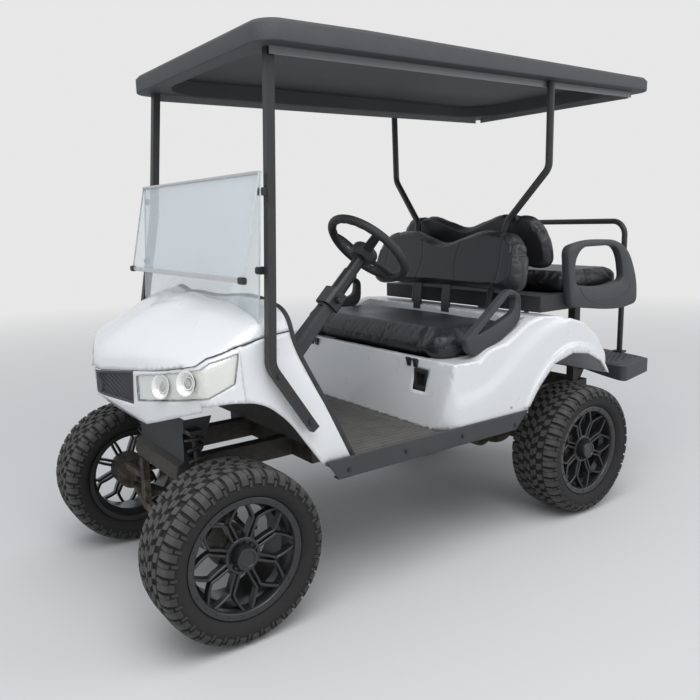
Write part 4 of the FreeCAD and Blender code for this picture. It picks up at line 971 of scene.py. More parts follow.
def bench_outline(back, front, half, radius_back, radius_front):
    """A bench cushion seen from above, from its four corners."""
    corners = [(back, -half), (front, -half), (front, half), (back, half)]
    return rounded(corners, [radius_back, radius_front, radius_front, radius_back], 8)


def dished(spots, low, x, depth):
    """Sitting hollows: the top sinks by depth exp(-(x / a)^2 - (y / b)^2) round both places."""
    share = np.clip((spots[:, 2] - low) / HOLLOW_HEIGHT, 0, 1)
    for y in (HOLLOW_OFF, -HOLLOW_OFF):
        away = (spots[:, :2] - (x, y)) / HOLLOW_REACH
        spots[:, 2] -= share * depth * np.exp(-(away ** 2).sum(1))
    return spots


def front_cushion(swell):
    """The front bench: a slab with round edges as cloth. Its top drops towards the front by
    0.014 e^2, where e grows from 0 to 1 over 0.22 m, and it has two hollows and five seams."""
    low, top = 0.7705, 0.880
    outline = bench_outline(-0.280, 0.152, 0.492, 0.050, 0.085)
    form = slab(outline, low, top - 0.012, "xyz", 0.030, ROUND_STEPS)
    made = inflated("front_seat_cushion_vinyl", form, swell)
    spots = coordinates(made.data)
    ease = np.clip((spots[:, 0] + 0.05) / 0.22, 0, 1)
    spots[:, 2] -= 0.014 * ease ** 2 * (spots[:, 2] > 0.82)
    spots = dished(spots, low, -0.10, 0.016)
    write_back(made.data, np.clip(spots, (-0.288, -0.503, low), (0.163, 0.503, top + 0.004)))
    height = 0.872
    seams = []
    for side in (1, -1):
        line = [(0.075, side * 0.40, height), (-0.02, side * 0.415, height),
                (-0.16, side * 0.43, height), (-0.27, side * 0.44, height)]
        seams.append(smooth_line(line, 6))
    seams.append(np.array([(0.085, -0.47, height), (0.085, 0.47, height)]))
    for y in (0.14, -0.14):
        seams.append(np.array([(0.085, y, height), (0.150, y, 0.845), (0.165, y, 0.79)]))
    sewn(made, seams, 0.0045, SEAM_WIDTH)
    seat_finished(made, "front_seat_lid", "front_seat_cushion")


def rear_cushion(swell):
    """The rear bench: a slab with round edges as cloth, with two hollows and three seams."""
    low, top = 0.9755, 1.064
    outline = bench_outline(-1.000, -0.570, 0.489, 0.060, 0.040)
    form = slab(outline, low, top - 0.010, "xyz", 0.026, ROUND_STEPS)
    made = inflated("rear_seat_cushion_vinyl", form, swell)
    spots = dished(coordinates(made.data), low, -0.78, 0.010)
    write_back(made.data, np.clip(spots, (-1.010, -0.499, low), (-0.562, 0.499, top + 0.002)))
    seams = [np.array([(-0.935, -0.47, 1.05), (-0.935, 0.47, 1.05)])]
    for side in (1, -1):
        seams.append(np.array([(-0.59, side * 0.42, 1.06), (-0.935, side * 0.42, 1.05)]))
    sewn(made, seams, 0.004, SEAM_WIDTH)
    seat_finished(made, "rear_seat_lid", "rear_seat_cushion")


def humped(half, height, dip, end_drop):
    """Outline of a backrest seen from its front: two humps, a valley between, round ends."""
    crown = smooth_line([(-half * 0.93, height - end_drop), (-half * 0.80, height - end_drop * 0.30),
                         (-half * 0.50, height), (-half * 0.24, height - dip * 0.45),
                         (0.0, height - dip), (half * 0.24, height - dip * 0.45),
                         (half * 0.50, height), (half * 0.80, height - end_drop * 0.30),
                         (half * 0.93, height - end_drop)], 5)
    right = rounded([(half * 0.93, height - end_drop), (half, height * 0.45), (half, 0.0),
                     (half * 0.55, 0.0)], [0.10, 0.10, 0.10, 0.0], 8, False)
    left = (right * (-1, 1))[::-1]
    return spread(np.concatenate([crown, right[1:], [(0.0, 0.004)], left[:-1]]), 150, True)


def leaned(spots, foot, lean):
    """Local (across, up, forward) points of a backrest, turned back by its lean, in degrees,
    about its foot."""
    across, up, ahead = spots.T
    c, s = math.cos(math.radians(lean)), math.sin(math.radians(lean))
    return np.stack([foot[0] + ahead * c - up * s, across, foot[1] + up * c + ahead * s], 1)


def backrest(swell, name, node, foot, lean, height, thick, facing, half):
    """A backrest: the humped outline as cloth, crowned in front and flat behind, with upright
    seams near its ends and between its humps."""
    outline = humped(half, height, 0.050, 0.075)
    form = slab(outline, -thick + 0.006, -0.010, "xyz", 0.028, ROUND_STEPS)
    made = inflated(name, form, swell)
    spots = coordinates(made.data)
    write_back(made.data, np.clip(spots, (-half - 0.014, 0.001, -thick + 0.001),
                                  (half + 0.014, height + 0.001, 0.008)))
    seams = []
    bow = 0.012
    for side in (1, -1):
        for y in (0.375, 0.425):
            seams.append(smooth_line([(side * (y - bow), 0.0, 0.006), (side * y, height * 0.4, 0.006),
                                      (side * (y - bow), height - 0.02, 0.006)], 6))
        seams.append(smooth_line([(side * 0.150, 0.0, 0.006), (side * 0.110, height * 0.45, 0.006),
                                  (side * 0.150, height - 0.01, 0.006)], 6))
    sewn(made, seams, 0.0035, 0.0030)
    spots = coordinates(made.data)
    spots[:, 2] *= facing
    spots = leaned(spots, foot, lean)
    write_back(made.data, spots)
    if facing > 0:
        made.data.flip_normals()
    seat_finished(made, "chassis", node)


# Frame nodes

# Finish, round of the edges in metres and smoothing angle of each frame node that is carried over.
CARRIED = {
    "chassis_frame": ("dirty_steel", 0.0030, 30),
    "control_arms": ("dirty_steel", 0.0030, 30),
    "rack_housing": ("dirty_steel", 0.0015, 35),
    "tie_rods": ("dirty_steel", 0.0, 35),
    "knuckle_left": ("dirty_steel", 0.0020, 35),
    "knuckle_right": ("dirty_steel", 0.0020, 35),
    "rear_axle": ("dirty_steel", 0.0, 35),
    "leaf_springs": ("dirty_steel", 0.0010, 30),
    "pedals": ("black_plastic", 0.0015, 35),
    "seat_brackets": ("black_steel", 0.0, 35),
    "front_struts": ("black_steel", 0.0035, 35),
    "rear_struts": ("black_steel", 0.0, 40),
    "grab_hoop": ("black_steel", 0.0, 40),
    "cowl_trim": ("black_plastic", 0.0015, 35),
    "dash": ("black_plastic", 0.0040, 35),
    "battery_block": ("black_plastic", 0.0040, 35),
    "charge_receptacle": ("black_plastic", 0.0020, 35),
    "rockers": ("grey_plastic", 0.0010, 35),
    "rear_seat_box": ("black_plastic", 0.0040, 35),
    "footrest": ("grey_plastic", 0.0025, 35),
    "front_shroud": ("grey_plastic", 0.0015, 35),
    "roof": ("roof_plastic", 0.0050, 52),
    "windshield_lower": ("clear", 0.0, 35),
    "windshield_upper": ("clear", 0.0, 35),
    "headlight_lenses": ("lens", 0.0, 25),
    "headlight_housings": ("lamp", 0.0, 25),
    "floor": ("mat", 0.0, 35),
}
# Painted shells: longest edge of the even mesh in metres, how often it is eased, and the angle
# in degrees from which an edge stays as it is.
SHELLS = {"hood": (0.020, 24, 66), "front_fascia": (0.018, 12, 66), "cowl_sides": (0.022, 10, 66),
          "rear_body": (0.022, 7, 66)}
# Front nodes whose points follow the soft cheek and the full shoulder of the nose.
NOSE_NODES = ("hood", "front_fascia", "cowl_sides", "cowl_trim", "headlight_lenses",
              "headlight_housings")
NOSE_EDGE = 0.020
CHEEK_REACH = 0.085
CHEEK_DEPTH = 0.013
CHEEK_INWARDS = np.array([0.75, 0.66, 0.0])
# Rise of the hood's shoulder, where it begins and how far it takes to grow to the full: towards
# the screen, to the side and upwards.
SHOULDER_RISE = 0.033
SHOULDER_START = np.array([1.13, 0.08, 0.88])
SHOULDER_RUN = np.array([-0.24, 0.26, 0.11])
# Height of a triangle over its longest edge under which it is a sliver.
SLIVER = 0.0008


def merged(name):
    """A bmesh of a frame node's copy with its loose triangles merged."""
    work = bmesh.new()
    work.from_mesh(NODES[name].data)
    bmesh.ops.remove_doubles(work, verts=work.verts, dist=0.00002)
    return work


def finished_copy(name, work, finish, angle):
    """An object of a frame node's reworked copy, which takes the node's place."""
    mesh = bpy.data.meshes.new(f"{name}_finished")
    work.to_mesh(mesh)
    work.free()
    mesh.materials.append(FINISHES[finish])
    smoothed(mesh, angle)
    made = linked(f"{name}_finished", mesh)
    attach(made, BODY_OF[name])
    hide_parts(name)
    return made


def carried(name, finish, width, angle):
    """A frame node's own form: flat faces joined, and its edges rounded by this width."""
    work = merged(name)
    if name in NOSE_NODES:
        split_evenly(work, NOSE_EDGE)
    else:
        bmesh.ops.dissolve_limit(work, angle_limit=math.radians(0.4), verts=work.verts,
                                 edges=work.edges)
    made = finished_copy(name, work, finish, angle)
    if name in NOSE_NODES:
        write_back(made.data, nose_shaped(coordinates(made.data)))
    elif width:
        edge = made.modifiers.new("round_edges", "BEVEL")
        edge.width = width
        edge.segments = 2
        edge.limit_method = "ANGLE"
        edge.angle_limit = math.radians(angle)
        edge.harden_normals = True


def cheek_line():
    """The upright line where the nose's front meets its left cheek: the points of the fascia's
    and the lens's edges that turn by a middling angle there, in order of height."""
    spots = []
    for name in ("front_fascia", "headlight_lenses", "hood"):
        work = merged(name)
        for edge in work.edges:
            turn = math.degrees(edge.calc_face_angle(0.0))
            middle = (edge.verts[0].co + edge.verts[1].co) / 2
            upright = abs(edge.verts[0].co.z - edge.verts[1].co.z) > 0.6 * edge.calc_length()
            if 18 < turn < 66 and upright and middle.x > 1.10 and 0.25 < middle.y < 0.56:
                spots += [tuple(edge.verts[0].co), tuple(edge.verts[1].co)]
        work.free()
    spots = np.unique(np.round(spots, 5), axis=0)
    return spots[np.argsort(spots[:, 2])]


CHEEK_LINE = cheek_line()


def nose_shaped(spots):
    """Rounds the cheeks: a point at distance d from the cheek line moves in by
    depth (1 - d / reach)^2. Fills the shoulders: a point rises by the product of three smooth
    steps t^2 (3 - 2 t), where t grows from 0 to 1 along x, y and z."""
    mirror = np.ones_like(spots)
    mirror[:, 1] = np.where(spots[:, 1] < 0, -1.0, 1.0)
    left = spots * mirror
    gap = np.full(len(left), 1.0)
    near = np.where((left[:, 0] > 1.0) & (left[:, 1] > 0.2))[0]
    gap[near] = gap_to_line(left[near], CHEEK_LINE)
    inwards = CHEEK_DEPTH * np.maximum(0, 1 - gap / CHEEK_REACH) ** 2
    left -= inwards[:, None] * CHEEK_INWARDS
    t = np.clip((left - SHOULDER_START) / SHOULDER_RUN, 0, 1)
    left[:, 2] += SHOULDER_RISE * (t * t * (3 - 2 * t)).prod(1)
    return left * mirror


def split_evenly(work, longest):
    """Halves every edge longer than this, again and again, and keeps all faces triangles."""
    for _ in range(7):
        bmesh.ops.triangulate(work, faces=work.faces[:])
        long_edges = [edge for edge in work.edges if edge.calc_length() > longest]
        if not long_edges:
            break
        bmesh.ops.subdivide_edges(work, edges=long_edges, cuts=1)
    bmesh.ops.triangulate(work, faces=work.faces[:])


def eased(spots, edges, free, rounds):
    """Runs bands together: each free point moves halfway to the mean of its neighbours."""
    a, b = edges.T
    count = np.bincount(edges.ravel(), minlength=len(spots))[:, None]
    for _ in range(rounds):
        total = np.zeros_like(spots)
        np.add.at(total, a, spots[b])
        np.add.at(total, b, spots[a])
        spots[free] += 0.5 * (total / count - spots)[free]
    return spots


def broad(face):
    """Whether a triangle is no sliver, by its height over its longest edge."""
    return 2 * face.calc_area() > SLIVER * max(edge.calc_length() for edge in face.edges)


def turn_slivers(work):
    """Gives each sliver's longest edge to the other diagonal of its two triangles."""
    for _ in range(3):
        taken, edges = set(), []
        for face in work.faces:
            edge = max(face.edges, key=lambda side: side.calc_length())
            if not broad(face) and len(edge.link_faces) == 2 and not taken & set(edge.link_faces):
                taken.update(edge.link_faces)
                edges.append(edge)
        bmesh.ops.rotate_edges(work, edges=edges)


def body_shell(name, longest, rounds, crisp):
    """A painted shell: an even mesh of the node's form, eased everywhere but on its rims."""
    work = merged(name)
    bmesh.ops.dissolve_degenerate(work, dist=SLIVER, edges=work.edges[:])
    split_evenly(work, longest)
    bmesh.ops.dissolve_degenerate(work, dist=SLIVER, edges=work.edges[:])
    bmesh.ops.triangulate(work, faces=work.faces[:])
    turn_slivers(work)
    work.verts.index_update()
    work.normal_update()
    sharp = [edge for edge in work.edges if edge.calc_face_angle(3.0) > math.radians(crisp)
             and all(broad(face) for face in edge.link_faces)]
    fixed = [vert.index for edge in sharp for vert in edge.verts]
    made = finished_copy(name, work, "white_body", crisp)
    mesh = made.data
    edges = np.empty(len(mesh.edges) * 2, np.int32)
    mesh.edges.foreach_get("vertices", edges)
    free = np.ones(len(mesh.vertices), bool)
    free[fixed] = False
    spots = eased(coordinates(mesh), edges.reshape(-1, 2), free, rounds)
    write_back(mesh, nose_shaped(spots) if name in NOSE_NODES else spots)
    smoothed(mesh, crisp)


def carry_over():
    """Every frame node that no modelled piece replaces, as a finished copy."""
    for name, (finish, width, angle) in CARRIED.items():
        carried(name, finish, width, angle)
    for name, (longest, rounds, crisp) in SHELLS.items():
        body_shell(name, longest, rounds, crisp)


# Lamps and grille

FRONT_AXLE_X = JOINTS["spin_front_left"]["pos_m"][0]
# Plan of the nose as points (x from the axle, y): the wide arc towards the left cheek and the
# small one in the middle.
NOSE_ARC = ((0.234, 0.040), (0.169, 0.260), (0.068, 0.548))
NOSE_TIP = ((0.234, -0.040), (0.239, 0.0), (0.234, 0.040))
GRILLE_DEPTH = 0.0053
# The grille's opening: its lowest and highest z in the middle and how both change outwards, its
# outer top and bottom corner as (y, z), and the height that its wires are laid out from.
GRILLE_LOW, LOW_SLOPE = 0.744, -0.045
GRILLE_HIGH, HIGH_SLOPE = 0.826, 0.096
GRILLE_CORNERS = ((0.208, 0.846), (0.200, 0.735))
GRILLE_MIDDLE = 0.785
WIRE_SLOPE = 0.62


def arc_through(a, b, c):
    """Centre and radius of the circle through three points: it solves the two straight lines
    of points that are equally far from a and b, and from b and c."""
    a, b, c = (np.asarray(p, float) for p in (a, b, c))
    sides = np.stack([b - a, c - b])
    middle = np.linalg.solve(sides, [(sides[0] * (a + b)).sum() / 2, (sides[1] * (b + c)).sum() / 2])
    return middle, np.linalg.norm(middle - a)


def nose_face(y, depth):
    """Place along X of the nose's front at this y, moved back by depth: the two arcs of its plan."""
    (mx, my), reach = arc_through(*NOSE_TIP)
    (cx, cy), wide = arc_through(*NOSE_ARC)
    side = np.abs(y)
    front = mx + np.sqrt(np.maximum(reach ** 2 - (side - my) ** 2, 0))
    cheek = cx + np.sqrt(np.maximum(wide ** 2 - (side - cy) ** 2, 0))
    return FRONT_AXLE_X + np.where(side < NOSE_ARC[0][1], front, cheek) - depth


def grille_edges(y):
    """Lowest and highest z of the grille's opening at this y."""
    side = np.abs(y)
    return GRILLE_LOW + side * LOW_SLOPE, GRILLE_HIGH + side * HIGH_SLOPE


def lattice(pitch):
    """Slanting wires over the grille's opening: z = z0 + slope (y - y0), cut to the opening,
    for both hands of the slope."""
    forms = []
    end_y, end_z = GRILLE_CORNERS[0]
    for hand in (1, -1):
        for y0 in np.arange(-0.36, 0.361, pitch):
            y = np.linspace(y0 - 0.13, y0 + 0.13, 60)
            z = GRILLE_MIDDLE + hand * WIRE_SLOPE * (y - y0)
            low, high = grille_edges(y)
            end = end_y - (end_z - z) * 0.06
            inside = (z > low) & (z < high) & (np.abs(y) < end)
            if inside.sum() < 4:
                continue
            y = np.linspace(y[inside][0], y[inside][-1], 8)
            z = GRILLE_MIDDLE + hand * WIRE_SLOPE * (y - y0)
            path = np.stack([nose_face(y, GRILLE_DEPTH + 0.0045 + 0.001 * hand), y, z], 1)
            forms.append(swept(path, blocky(0.0042, 0.0036, 0.0009), (1, 0, 0)))
    return joined(forms)


def grille_outline(inset):
    """Closed outline (y, z) of the grille's opening, let in by inset."""
    (top_y, top_z), (low_y, low_z) = GRILLE_CORNERS
    right = [(0.0, GRILLE_HIGH - inset), (top_y - inset, top_z - inset),
             (low_y - inset, low_z + inset), (0.0, GRILLE_LOW + inset)]
    left = [(-y, z) for y, z in right[2:0:-1]]
    return spread(rounded(right + left, [0.0, 0.016, 0.016, 0.0, 0.016, 0.016], 6), 160, True)


def grille_backing():
    """A dark pan behind the wires: rows run from the opening's middle line to its outline."""
    outline = grille_outline(-0.006)
    share = np.array([1.0, 0.97, 0.6, 0.3, 0.02])[:, None, None]
    middle = np.array([0.0, GRILLE_MIDDLE])
    flat = middle + (outline[None] - middle) * share
    depth = GRILLE_DEPTH + np.array([0.000, 0.012, 0.013, 0.013, 0.013])[:, None]
    front = np.stack([nose_face(flat[..., 0], depth), flat[..., 0], flat[..., 1]], -1)
    back = front[::-1] - (0.003, 0, 0)
    return capped(np.concatenate([front, back]))


def grille_rim():
    """The frame of the grille: a flat bar carried round the opening's outline on the nose."""
    outline = grille_outline(0.004)
    path = np.stack([nose_face(outline[:, 0], GRILLE_DEPTH + 0.002), outline[:, 0],
                     outline[:, 1]], 1)
    return swept(path, blocky(0.010, 0.008, 0.002), (1, 0, 0), closed=True)


def make_grille(pitch):
    """The grille: frame and wires, the pan behind them, and a plain disc in their middle."""
    piece("grille_mesh", joined([grille_rim(), lattice(pitch)]), "grille_plastic", "chassis",
          ["grille"], 30)
    piece("grille_pan", grille_backing(), "grip", "chassis")
    dish = [(-0.010, 0.0), (-0.010, 0.0262), (0.000, 0.0262), (0.0022, 0.0245), (0.0022, 0.0205),
            (0.0008, 0.0195), (0.0008, 0.0)]
    face = FRONT_AXLE_X + 0.2365 - GRILLE_DEPTH + 0.002
    badge = lathed(dish, (face, 0.0, 0.771), (1, 0, 0), 48)
    piece("grille_badge", badge, "grey_plastic", "chassis")


# Foot of each reflector bowl of the left headlight, and the way both of them look.
BOWLS = ((1.169, 0.330, 0.806), (1.133, 0.442, 0.830))
BOWL_WAY = np.array([0.92, 0.33, 0.20]) / np.linalg.norm([0.92, 0.33, 0.20])


def make_lamps():
    """Bowls turned round the lamp's axis, each with a bulb glass and a bright ring, and gaskets
    along the edges of the lens that turn by more than 68 degrees."""
    bowl = [(0.001, 0.0), (0.001, 0.0130), (0.010, 0.0195), (0.020, 0.0275), (0.0305, 0.0375),
            (0.0325, 0.0395), (0.0325, 0.0360), (0.021, 0.0245), (0.011, 0.0165), (0.005, 0.0110),
            (0.005, 0.0)]
    ring = [(0.0175, 0.0205), (0.0215, 0.0210), (0.0225, 0.0190), (0.0215, 0.0170), (0.0175, 0.0165)]
    bulb = [(0.005, 0.0), (0.005, 0.0125), (0.014, 0.0150), (0.0205, 0.0128), (0.0240, 0.0080),
            (0.0252, 0.0)]
    mirrors, glasses = [], []
    for foot in BOWLS:
        mirrors += [lathed(bowl, foot, BOWL_WAY, 48), lathed(ring, foot, BOWL_WAY, 48, True)]
        glasses.append(lathed(bulb, foot, BOWL_WAY, 32))
    piece("headlight_bowls", pair(joined(mirrors)), "lamp", "chassis", angle=28)
    piece("headlight_bulbs", pair(joined(glasses)), "bulb", "chassis", angle=40)
    work = merged("headlight_lenses")
    split_evenly(work, NOSE_EDGE)
    ends = np.array([[vert.co for vert in edge.verts] for edge in work.edges
                     if edge.calc_face_angle(0.0) > math.radians(68)])
    work.free()
    ends = nose_shaped(ends.reshape(-1, 3)).reshape(-1, 2, 3)
    piece("headlight_gaskets", edge_bars(ends, 0.0013), "gasket", "chassis",
          angle=60)


def edge_bars(ends, radius):
    """Thin bars with six sides along straight edges: each end is a ring of six points round
    its edge's line."""
    way = ends[:, 1] - ends[:, 0]
    way /= np.linalg.norm(way, axis=1, keepdims=True)
    side = np.cross(way, np.where(np.abs(way[:, 2:]) < 0.8, (0.0, 0.0, 1.0), (0.0, 1.0, 0.0)))
    side /= np.linalg.norm(side, axis=1, keepdims=True)
    rise = np.cross(side, way)
    ring = circle(radius, 6)
    spots = (ends[:, :, None] + side[:, None, None] * ring[None, None, :, :1]
             + rise[:, None, None] * ring[None, None, :, 1:])
    quads = sheet_grid(spots[0], wrap_columns=True)[1][0]
    start = (np.arange(len(ends)) * 12)[:, None, None]
    caps = np.array([[5, 4, 3, 2, 1, 0], [6, 7, 8, 9, 10, 11]])
    return spots.reshape(-1, 3), [(quads[None] + start).reshape(-1, 4),
                                  (caps[None] + start).reshape(-1, 6)]


# Windscreen trim

SCREEN_HALF = 0.486
SCREEN_HINGE = (0.895, 1.454)
SCREEN_FREE = (0.9675, 1.132)


def bar_across(x, z, half, section, shift=0.0):
    """A straight bar from one side of the cart to the other."""
    y = np.linspace(-half, half, 3)
    path = np.stack([np.full(3, x), y + shift, np.full(3, z)], 1)
    return swept(path, section, (0, 0, 1))


def make_screen_trim():
    """Channels on the hinge line and on the free edge, edge strips and rubber ends."""
    hinge_x, hinge_z = SCREEN_HINGE
    free_x, free_z = SCREEN_FREE
    channel = [bar_across(free_x, free_z, SCREEN_HALF - 0.02, blocky(0.011, 0.016, 0.002)),
               bar_across(hinge_x, hinge_z + 0.002, SCREEN_HALF, blocky(0.016, 0.010, 0.003))]
    piece("screen_channels", joined(channel), "channel", "chassis")
    edges = []
    for y in (-SCREEN_HALF, SCREEN_HALF):
        fold = np.linspace((hinge_x + 0.003, y, hinge_z), (free_x - 0.001, y, free_z), 3)
        fixed = np.linspace((hinge_x - 0.003, y, hinge_z), (0.921, y, 1.010), 3)
        edges += [swept(line, blocky(0.0030, 0.0052, 0.0008), (1, 0, 0)) for line in (fold, fixed)]
    piece("screen_edges", joined(edges), "edge", "chassis")
    rubber = []
    for y in (-SCREEN_HALF + 0.008, SCREEN_HALF - 0.008):
        rubber.append(bar_across(free_x + 0.001, free_z, 0.014, blocky(0.018, 0.022, 0.004), y))
        for x, z in ((0.902, 1.160), (0.880, 1.400)):
            rubber.append(bar_across(x, z, 0.010, blocky(0.030, 0.024, 0.005), y))
    piece("screen_rubbers", joined(rubber), "black_plastic", "chassis")


# Steering wheel and column

WHEEL_CENTRE = np.array(JOINTS["steering_wheel_turn"]["pos_m"])
WHEEL_WAY = np.array(JOINTS["steering_wheel_turn"]["axis"])
RIM_RING = 0.1625
GRIP = 0.0165
# Middle line of a spoke: distance below the wheel's plane and from its axis.
SPOKE_LINE = ((0.030, 0.020), (0.024, 0.050), (0.008, 0.105), (0.001, 0.158))


def along_column(distance):
    """A point of the column's axis at this distance below the wheel."""
    return WHEEL_CENTRE - WHEEL_WAY * distance


def make_steering():
    """The rim is a ring with finger waves; its tube's radius is r + w sin(n a) on the inner
    side. Wide spokes curve up from the pad to the rim."""
    a = np.linspace(0, 2 * np.pi, 144, endpoint=False)
    b = np.linspace(0, 2 * np.pi, 18, endpoint=False)
    across = np.array([0.0, 1.0, 0.0])
    up = np.cross(WHEEL_WAY, across)
    ring = np.cos(a)[:, None] * across + np.sin(a)[:, None] * up
    inner = np.clip(-np.cos(b), 0, 1)
    tube = GRIP + 0.0012 * np.sin(24 * a)[:, None] * inner[None]
    spots = (WHEEL_CENTRE + ring[:, None] * (RIM_RING + tube * np.cos(b))[..., None]
             + WHEEL_WAY * (tube * np.sin(b))[..., None])
    forms = [sheet_grid(spots, True, True)]
    for angle in (90, 210, 330):
        turn = math.radians(angle)
        way = across * math.cos(turn) + up * math.sin(turn)
        line = smooth_line([along_column(down) + way * out for down, out in SPOKE_LINE], 6)
        width = np.linspace(1.25, 0.95, len(line))[:, None]
        forms.append(swept(line, blocky(0.034, 0.012, 0.004), WHEEL_WAY, scale=width))
    pad = [(-0.0525, 0.0), (-0.0525, 0.0405), (-0.046, 0.0440), (-0.034, 0.0500), (-0.022, 0.0525),
           (-0.012, 0.0510), (-0.004, 0.0450), (0.000, 0.0340), (0.0015, 0.0180), (0.0018, 0.0)]
    forms.append(lathed(pad, WHEEL_CENTRE, WHEEL_WAY, 56))
    piece("steering_wheel_rim", joined(forms), "grip", "steering_wheel",
          ["steering_wheel"], 40)


def make_column():
    """Column tube with collars, its key bracket, and a wide moulded cover lower down."""
    tube = [(-0.619, 0.0), (-0.619, 0.044), (-0.609, 0.044), (-0.606, 0.024), (-0.300, 0.024),
            (-0.297, 0.030), (-0.120, 0.028), (-0.116, 0.0235), (-0.062, 0.0235), (-0.0605, 0.021),
            (-0.0605, 0.0)]
    stem = [(-0.070, 0.0), (-0.070, 0.0108), (-0.0302, 0.0108), (-0.0302, 0.0)]
    forms = [lathed(tube, WHEEL_CENTRE, WHEEL_WAY, 40), lathed(stem, WHEEL_CENTRE, WHEEL_WAY, 24)]
    side = (0, 1, 0)
    key = np.linspace(along_column(0.285), along_column(0.215), 3)
    forms.append(swept(key, blocky(0.070, 0.082, 0.010), side))
    barrel = along_column(0.250) + np.array([0.0, 0.040, 0.0])
    forms.append(lathed([(0, 0.0), (0, 0.013), (0.018, 0.013), (0.022, 0.010), (0.022, 0.0)],
                        barrel, (0, 1, 0), 24))
    piece("column_tube", joined(forms), "black_steel", "chassis",
          ["steering_column"], 35)
    cover = np.linspace(along_column(0.560), along_column(0.288), 5)
    width = np.linspace(1.12, 0.92, 5)[:, None]
    piece("column_cover", swept(cover, blocky(0.052, 0.064, 0.010), side, scale=width),
          "grey_plastic", "chassis")


# Guards and armrests

def loop_outline(corners):
    """A closed outline from a table of (x, z, radius) in millimetres."""
    table = np.array(corners, float) / 1000
    return rounded(table[:, :2], table[:, 2], 10)


# Inner and outer face of the hip guards and of the armrests, as their y.
HIP_FACES = (0.5145, 0.5475)
ARM_FACES = (0.5102, 0.5500)
# Outlines as (x, z, radius) in millimetres, and the line of the armrest's ridge as (x, z).
HIP_OUTER = ((78, 847, 20), (48, 781, 40), (-66, 800, 90), (-235, 890, 40), (-237, 999, 26),
             (-167, 1033, 34))
HIP_HOLE = ((12, 862, 14), (-66, 884, 40), (-196, 934, 20), (-204, 988, 14), (-166, 1001, 18))
ARM_OUTER = ((-558, 919, 30), (-898, 876, 200), (-1048, 898, 36), (-1040, 1010, 60),
             (-971, 1142, 60), (-873, 1196, 70), (-663, 1203, 80), (-518, 1177, 44),
             (-540, 1010, 60))
ARM_HOLE = ((-582, 1012, 30), (-575, 1118, 40), (-625, 1172, 40), (-860, 1172, 60),
            (-908, 1118, 40), (-931, 1014, 30), (-766, 990, 120))
ARM_RIDGE = ((-0.612, 0.999), (-0.650, 0.955), (-0.714, 0.930), (-0.780, 0.9165),
             (-0.843, 0.9165), (-0.905, 0.929), (-0.959, 0.950), (-0.992, 0.988))


def make_guards():
    """Hip guards: a loop plate with soft edges, a raised rim line along its outer face."""
    outer, hole = loop_outline(HIP_OUTER), loop_outline(HIP_HOLE)
    forms = [ring_slab(outer, hole, *HIP_FACES, "xzy", 0.006)]
    edge = spread(outer, 120, True)
    edge = edge - outward(edge) * 0.0085
    path = in_plane(edge, HIP_FACES[1] + 0.0003, "xzy")
    forms.append(swept(path, blocky(0.0035, 0.0022, 0.0008), (0, 1, 0), closed=True))
    piece("hip_guards", pair(joined(forms)), "guard_plastic", "chassis",
          ["hip_restraints"], 40)


def make_armrests():
    """Rear armrests: a loop plate with soft edges and one curved ridge on its outer face."""
    outer, hole = loop_outline(ARM_OUTER), loop_outline(ARM_HOLE)
    forms = [ring_slab(outer, hole, *ARM_FACES, "xzy", 0.008)]
    path = in_plane(smooth_line(ARM_RIDGE, 6), ARM_FACES[1], "xzy")
    forms.append(swept(path, blocky(0.0060, 0.0036, 0.0012), (0, 1, 0)))
    piece("armrest_loops", pair(joined(forms)), "guard_plastic", "chassis",
          ["armrests"], 40)


# Springs, rails and small parts

# Lower and upper end of the left damper as (y, z), and the turns, radius and wire of its coil.
DAMPER_ENDS = ((0.300, 0.250), (0.220, 0.606))
COIL_TURNS = 7.5
COIL_RADIUS = 0.0245
COIL_WIRE = 0.0052


def make_dampers():
    """Front dampers with a wire coil: point = foot + s way + r (cos n s, sin n s) across it."""
    foot, head = (np.array([FRONT_AXLE_X, y, z]) for y, z in DAMPER_ENDS)
    length = np.linalg.norm(head - foot)
    way = (head - foot) / length
    side = np.cross(way, (1.0, 0.0, 0.0))
    side /= np.linalg.norm(side)
    other = np.cross(way, side)
    body = [(0.0, 0.0), (0.0, 0.014), (0.040, 0.014), (0.041, 0.032), (0.048, 0.033),
            (0.050, 0.016), (0.230, 0.016), (0.232, 0.009), (length - 0.027, 0.009),
            (length - 0.026, 0.033), (length - 0.018, 0.033), (length - 0.017, 0.013),
            (length - 0.001, 0.013), (length - 0.001, 0.0)]
    damper = lathed(body, foot, way, 32)
    s = np.linspace(0.053, length - 0.031, 200)
    turn = 2 * np.pi * COIL_TURNS * (s - s[0]) / (s[-1] - s[0])
    coil = (foot + way * s[:, None]
            + COIL_RADIUS * (np.cos(turn)[:, None] * side + np.sin(turn)[:, None] * other))
    wire = swept(coil, circle(COIL_WIRE, 8), way)
    piece("front_dampers", pair(joined([damper, wire])), "dirty_steel", "chassis",
          ["coil_overs"], 35)


def make_roof_rails():
    """Rails under the roof: an angle bar down both sides and one across the rear."""
    angle_bar = np.array([(-0.002, -0.026), (0.002, -0.026), (0.002, -0.003), (0.020, -0.003),
                          (0.020, 0.001), (-0.002, 0.001)])
    side = np.array([(0.840, -0.478, 1.829), (-0.150, -0.478, 1.838), (-1.030, -0.478, 1.848)])
    side = spread(side, 12)
    rear = np.array([(-1.046, -0.455, 1.849), (-1.046, 0.0, 1.849), (-1.046, 0.455, 1.849)])
    forms = [swept(side, angle_bar, (0, 0, 1)), mirrored(swept(side, angle_bar, (0, 0, 1))),
             swept(rear, angle_bar * (-1, 1), (0, 0, 1))]
    piece("roof_rails", joined(forms), "rail", "chassis")


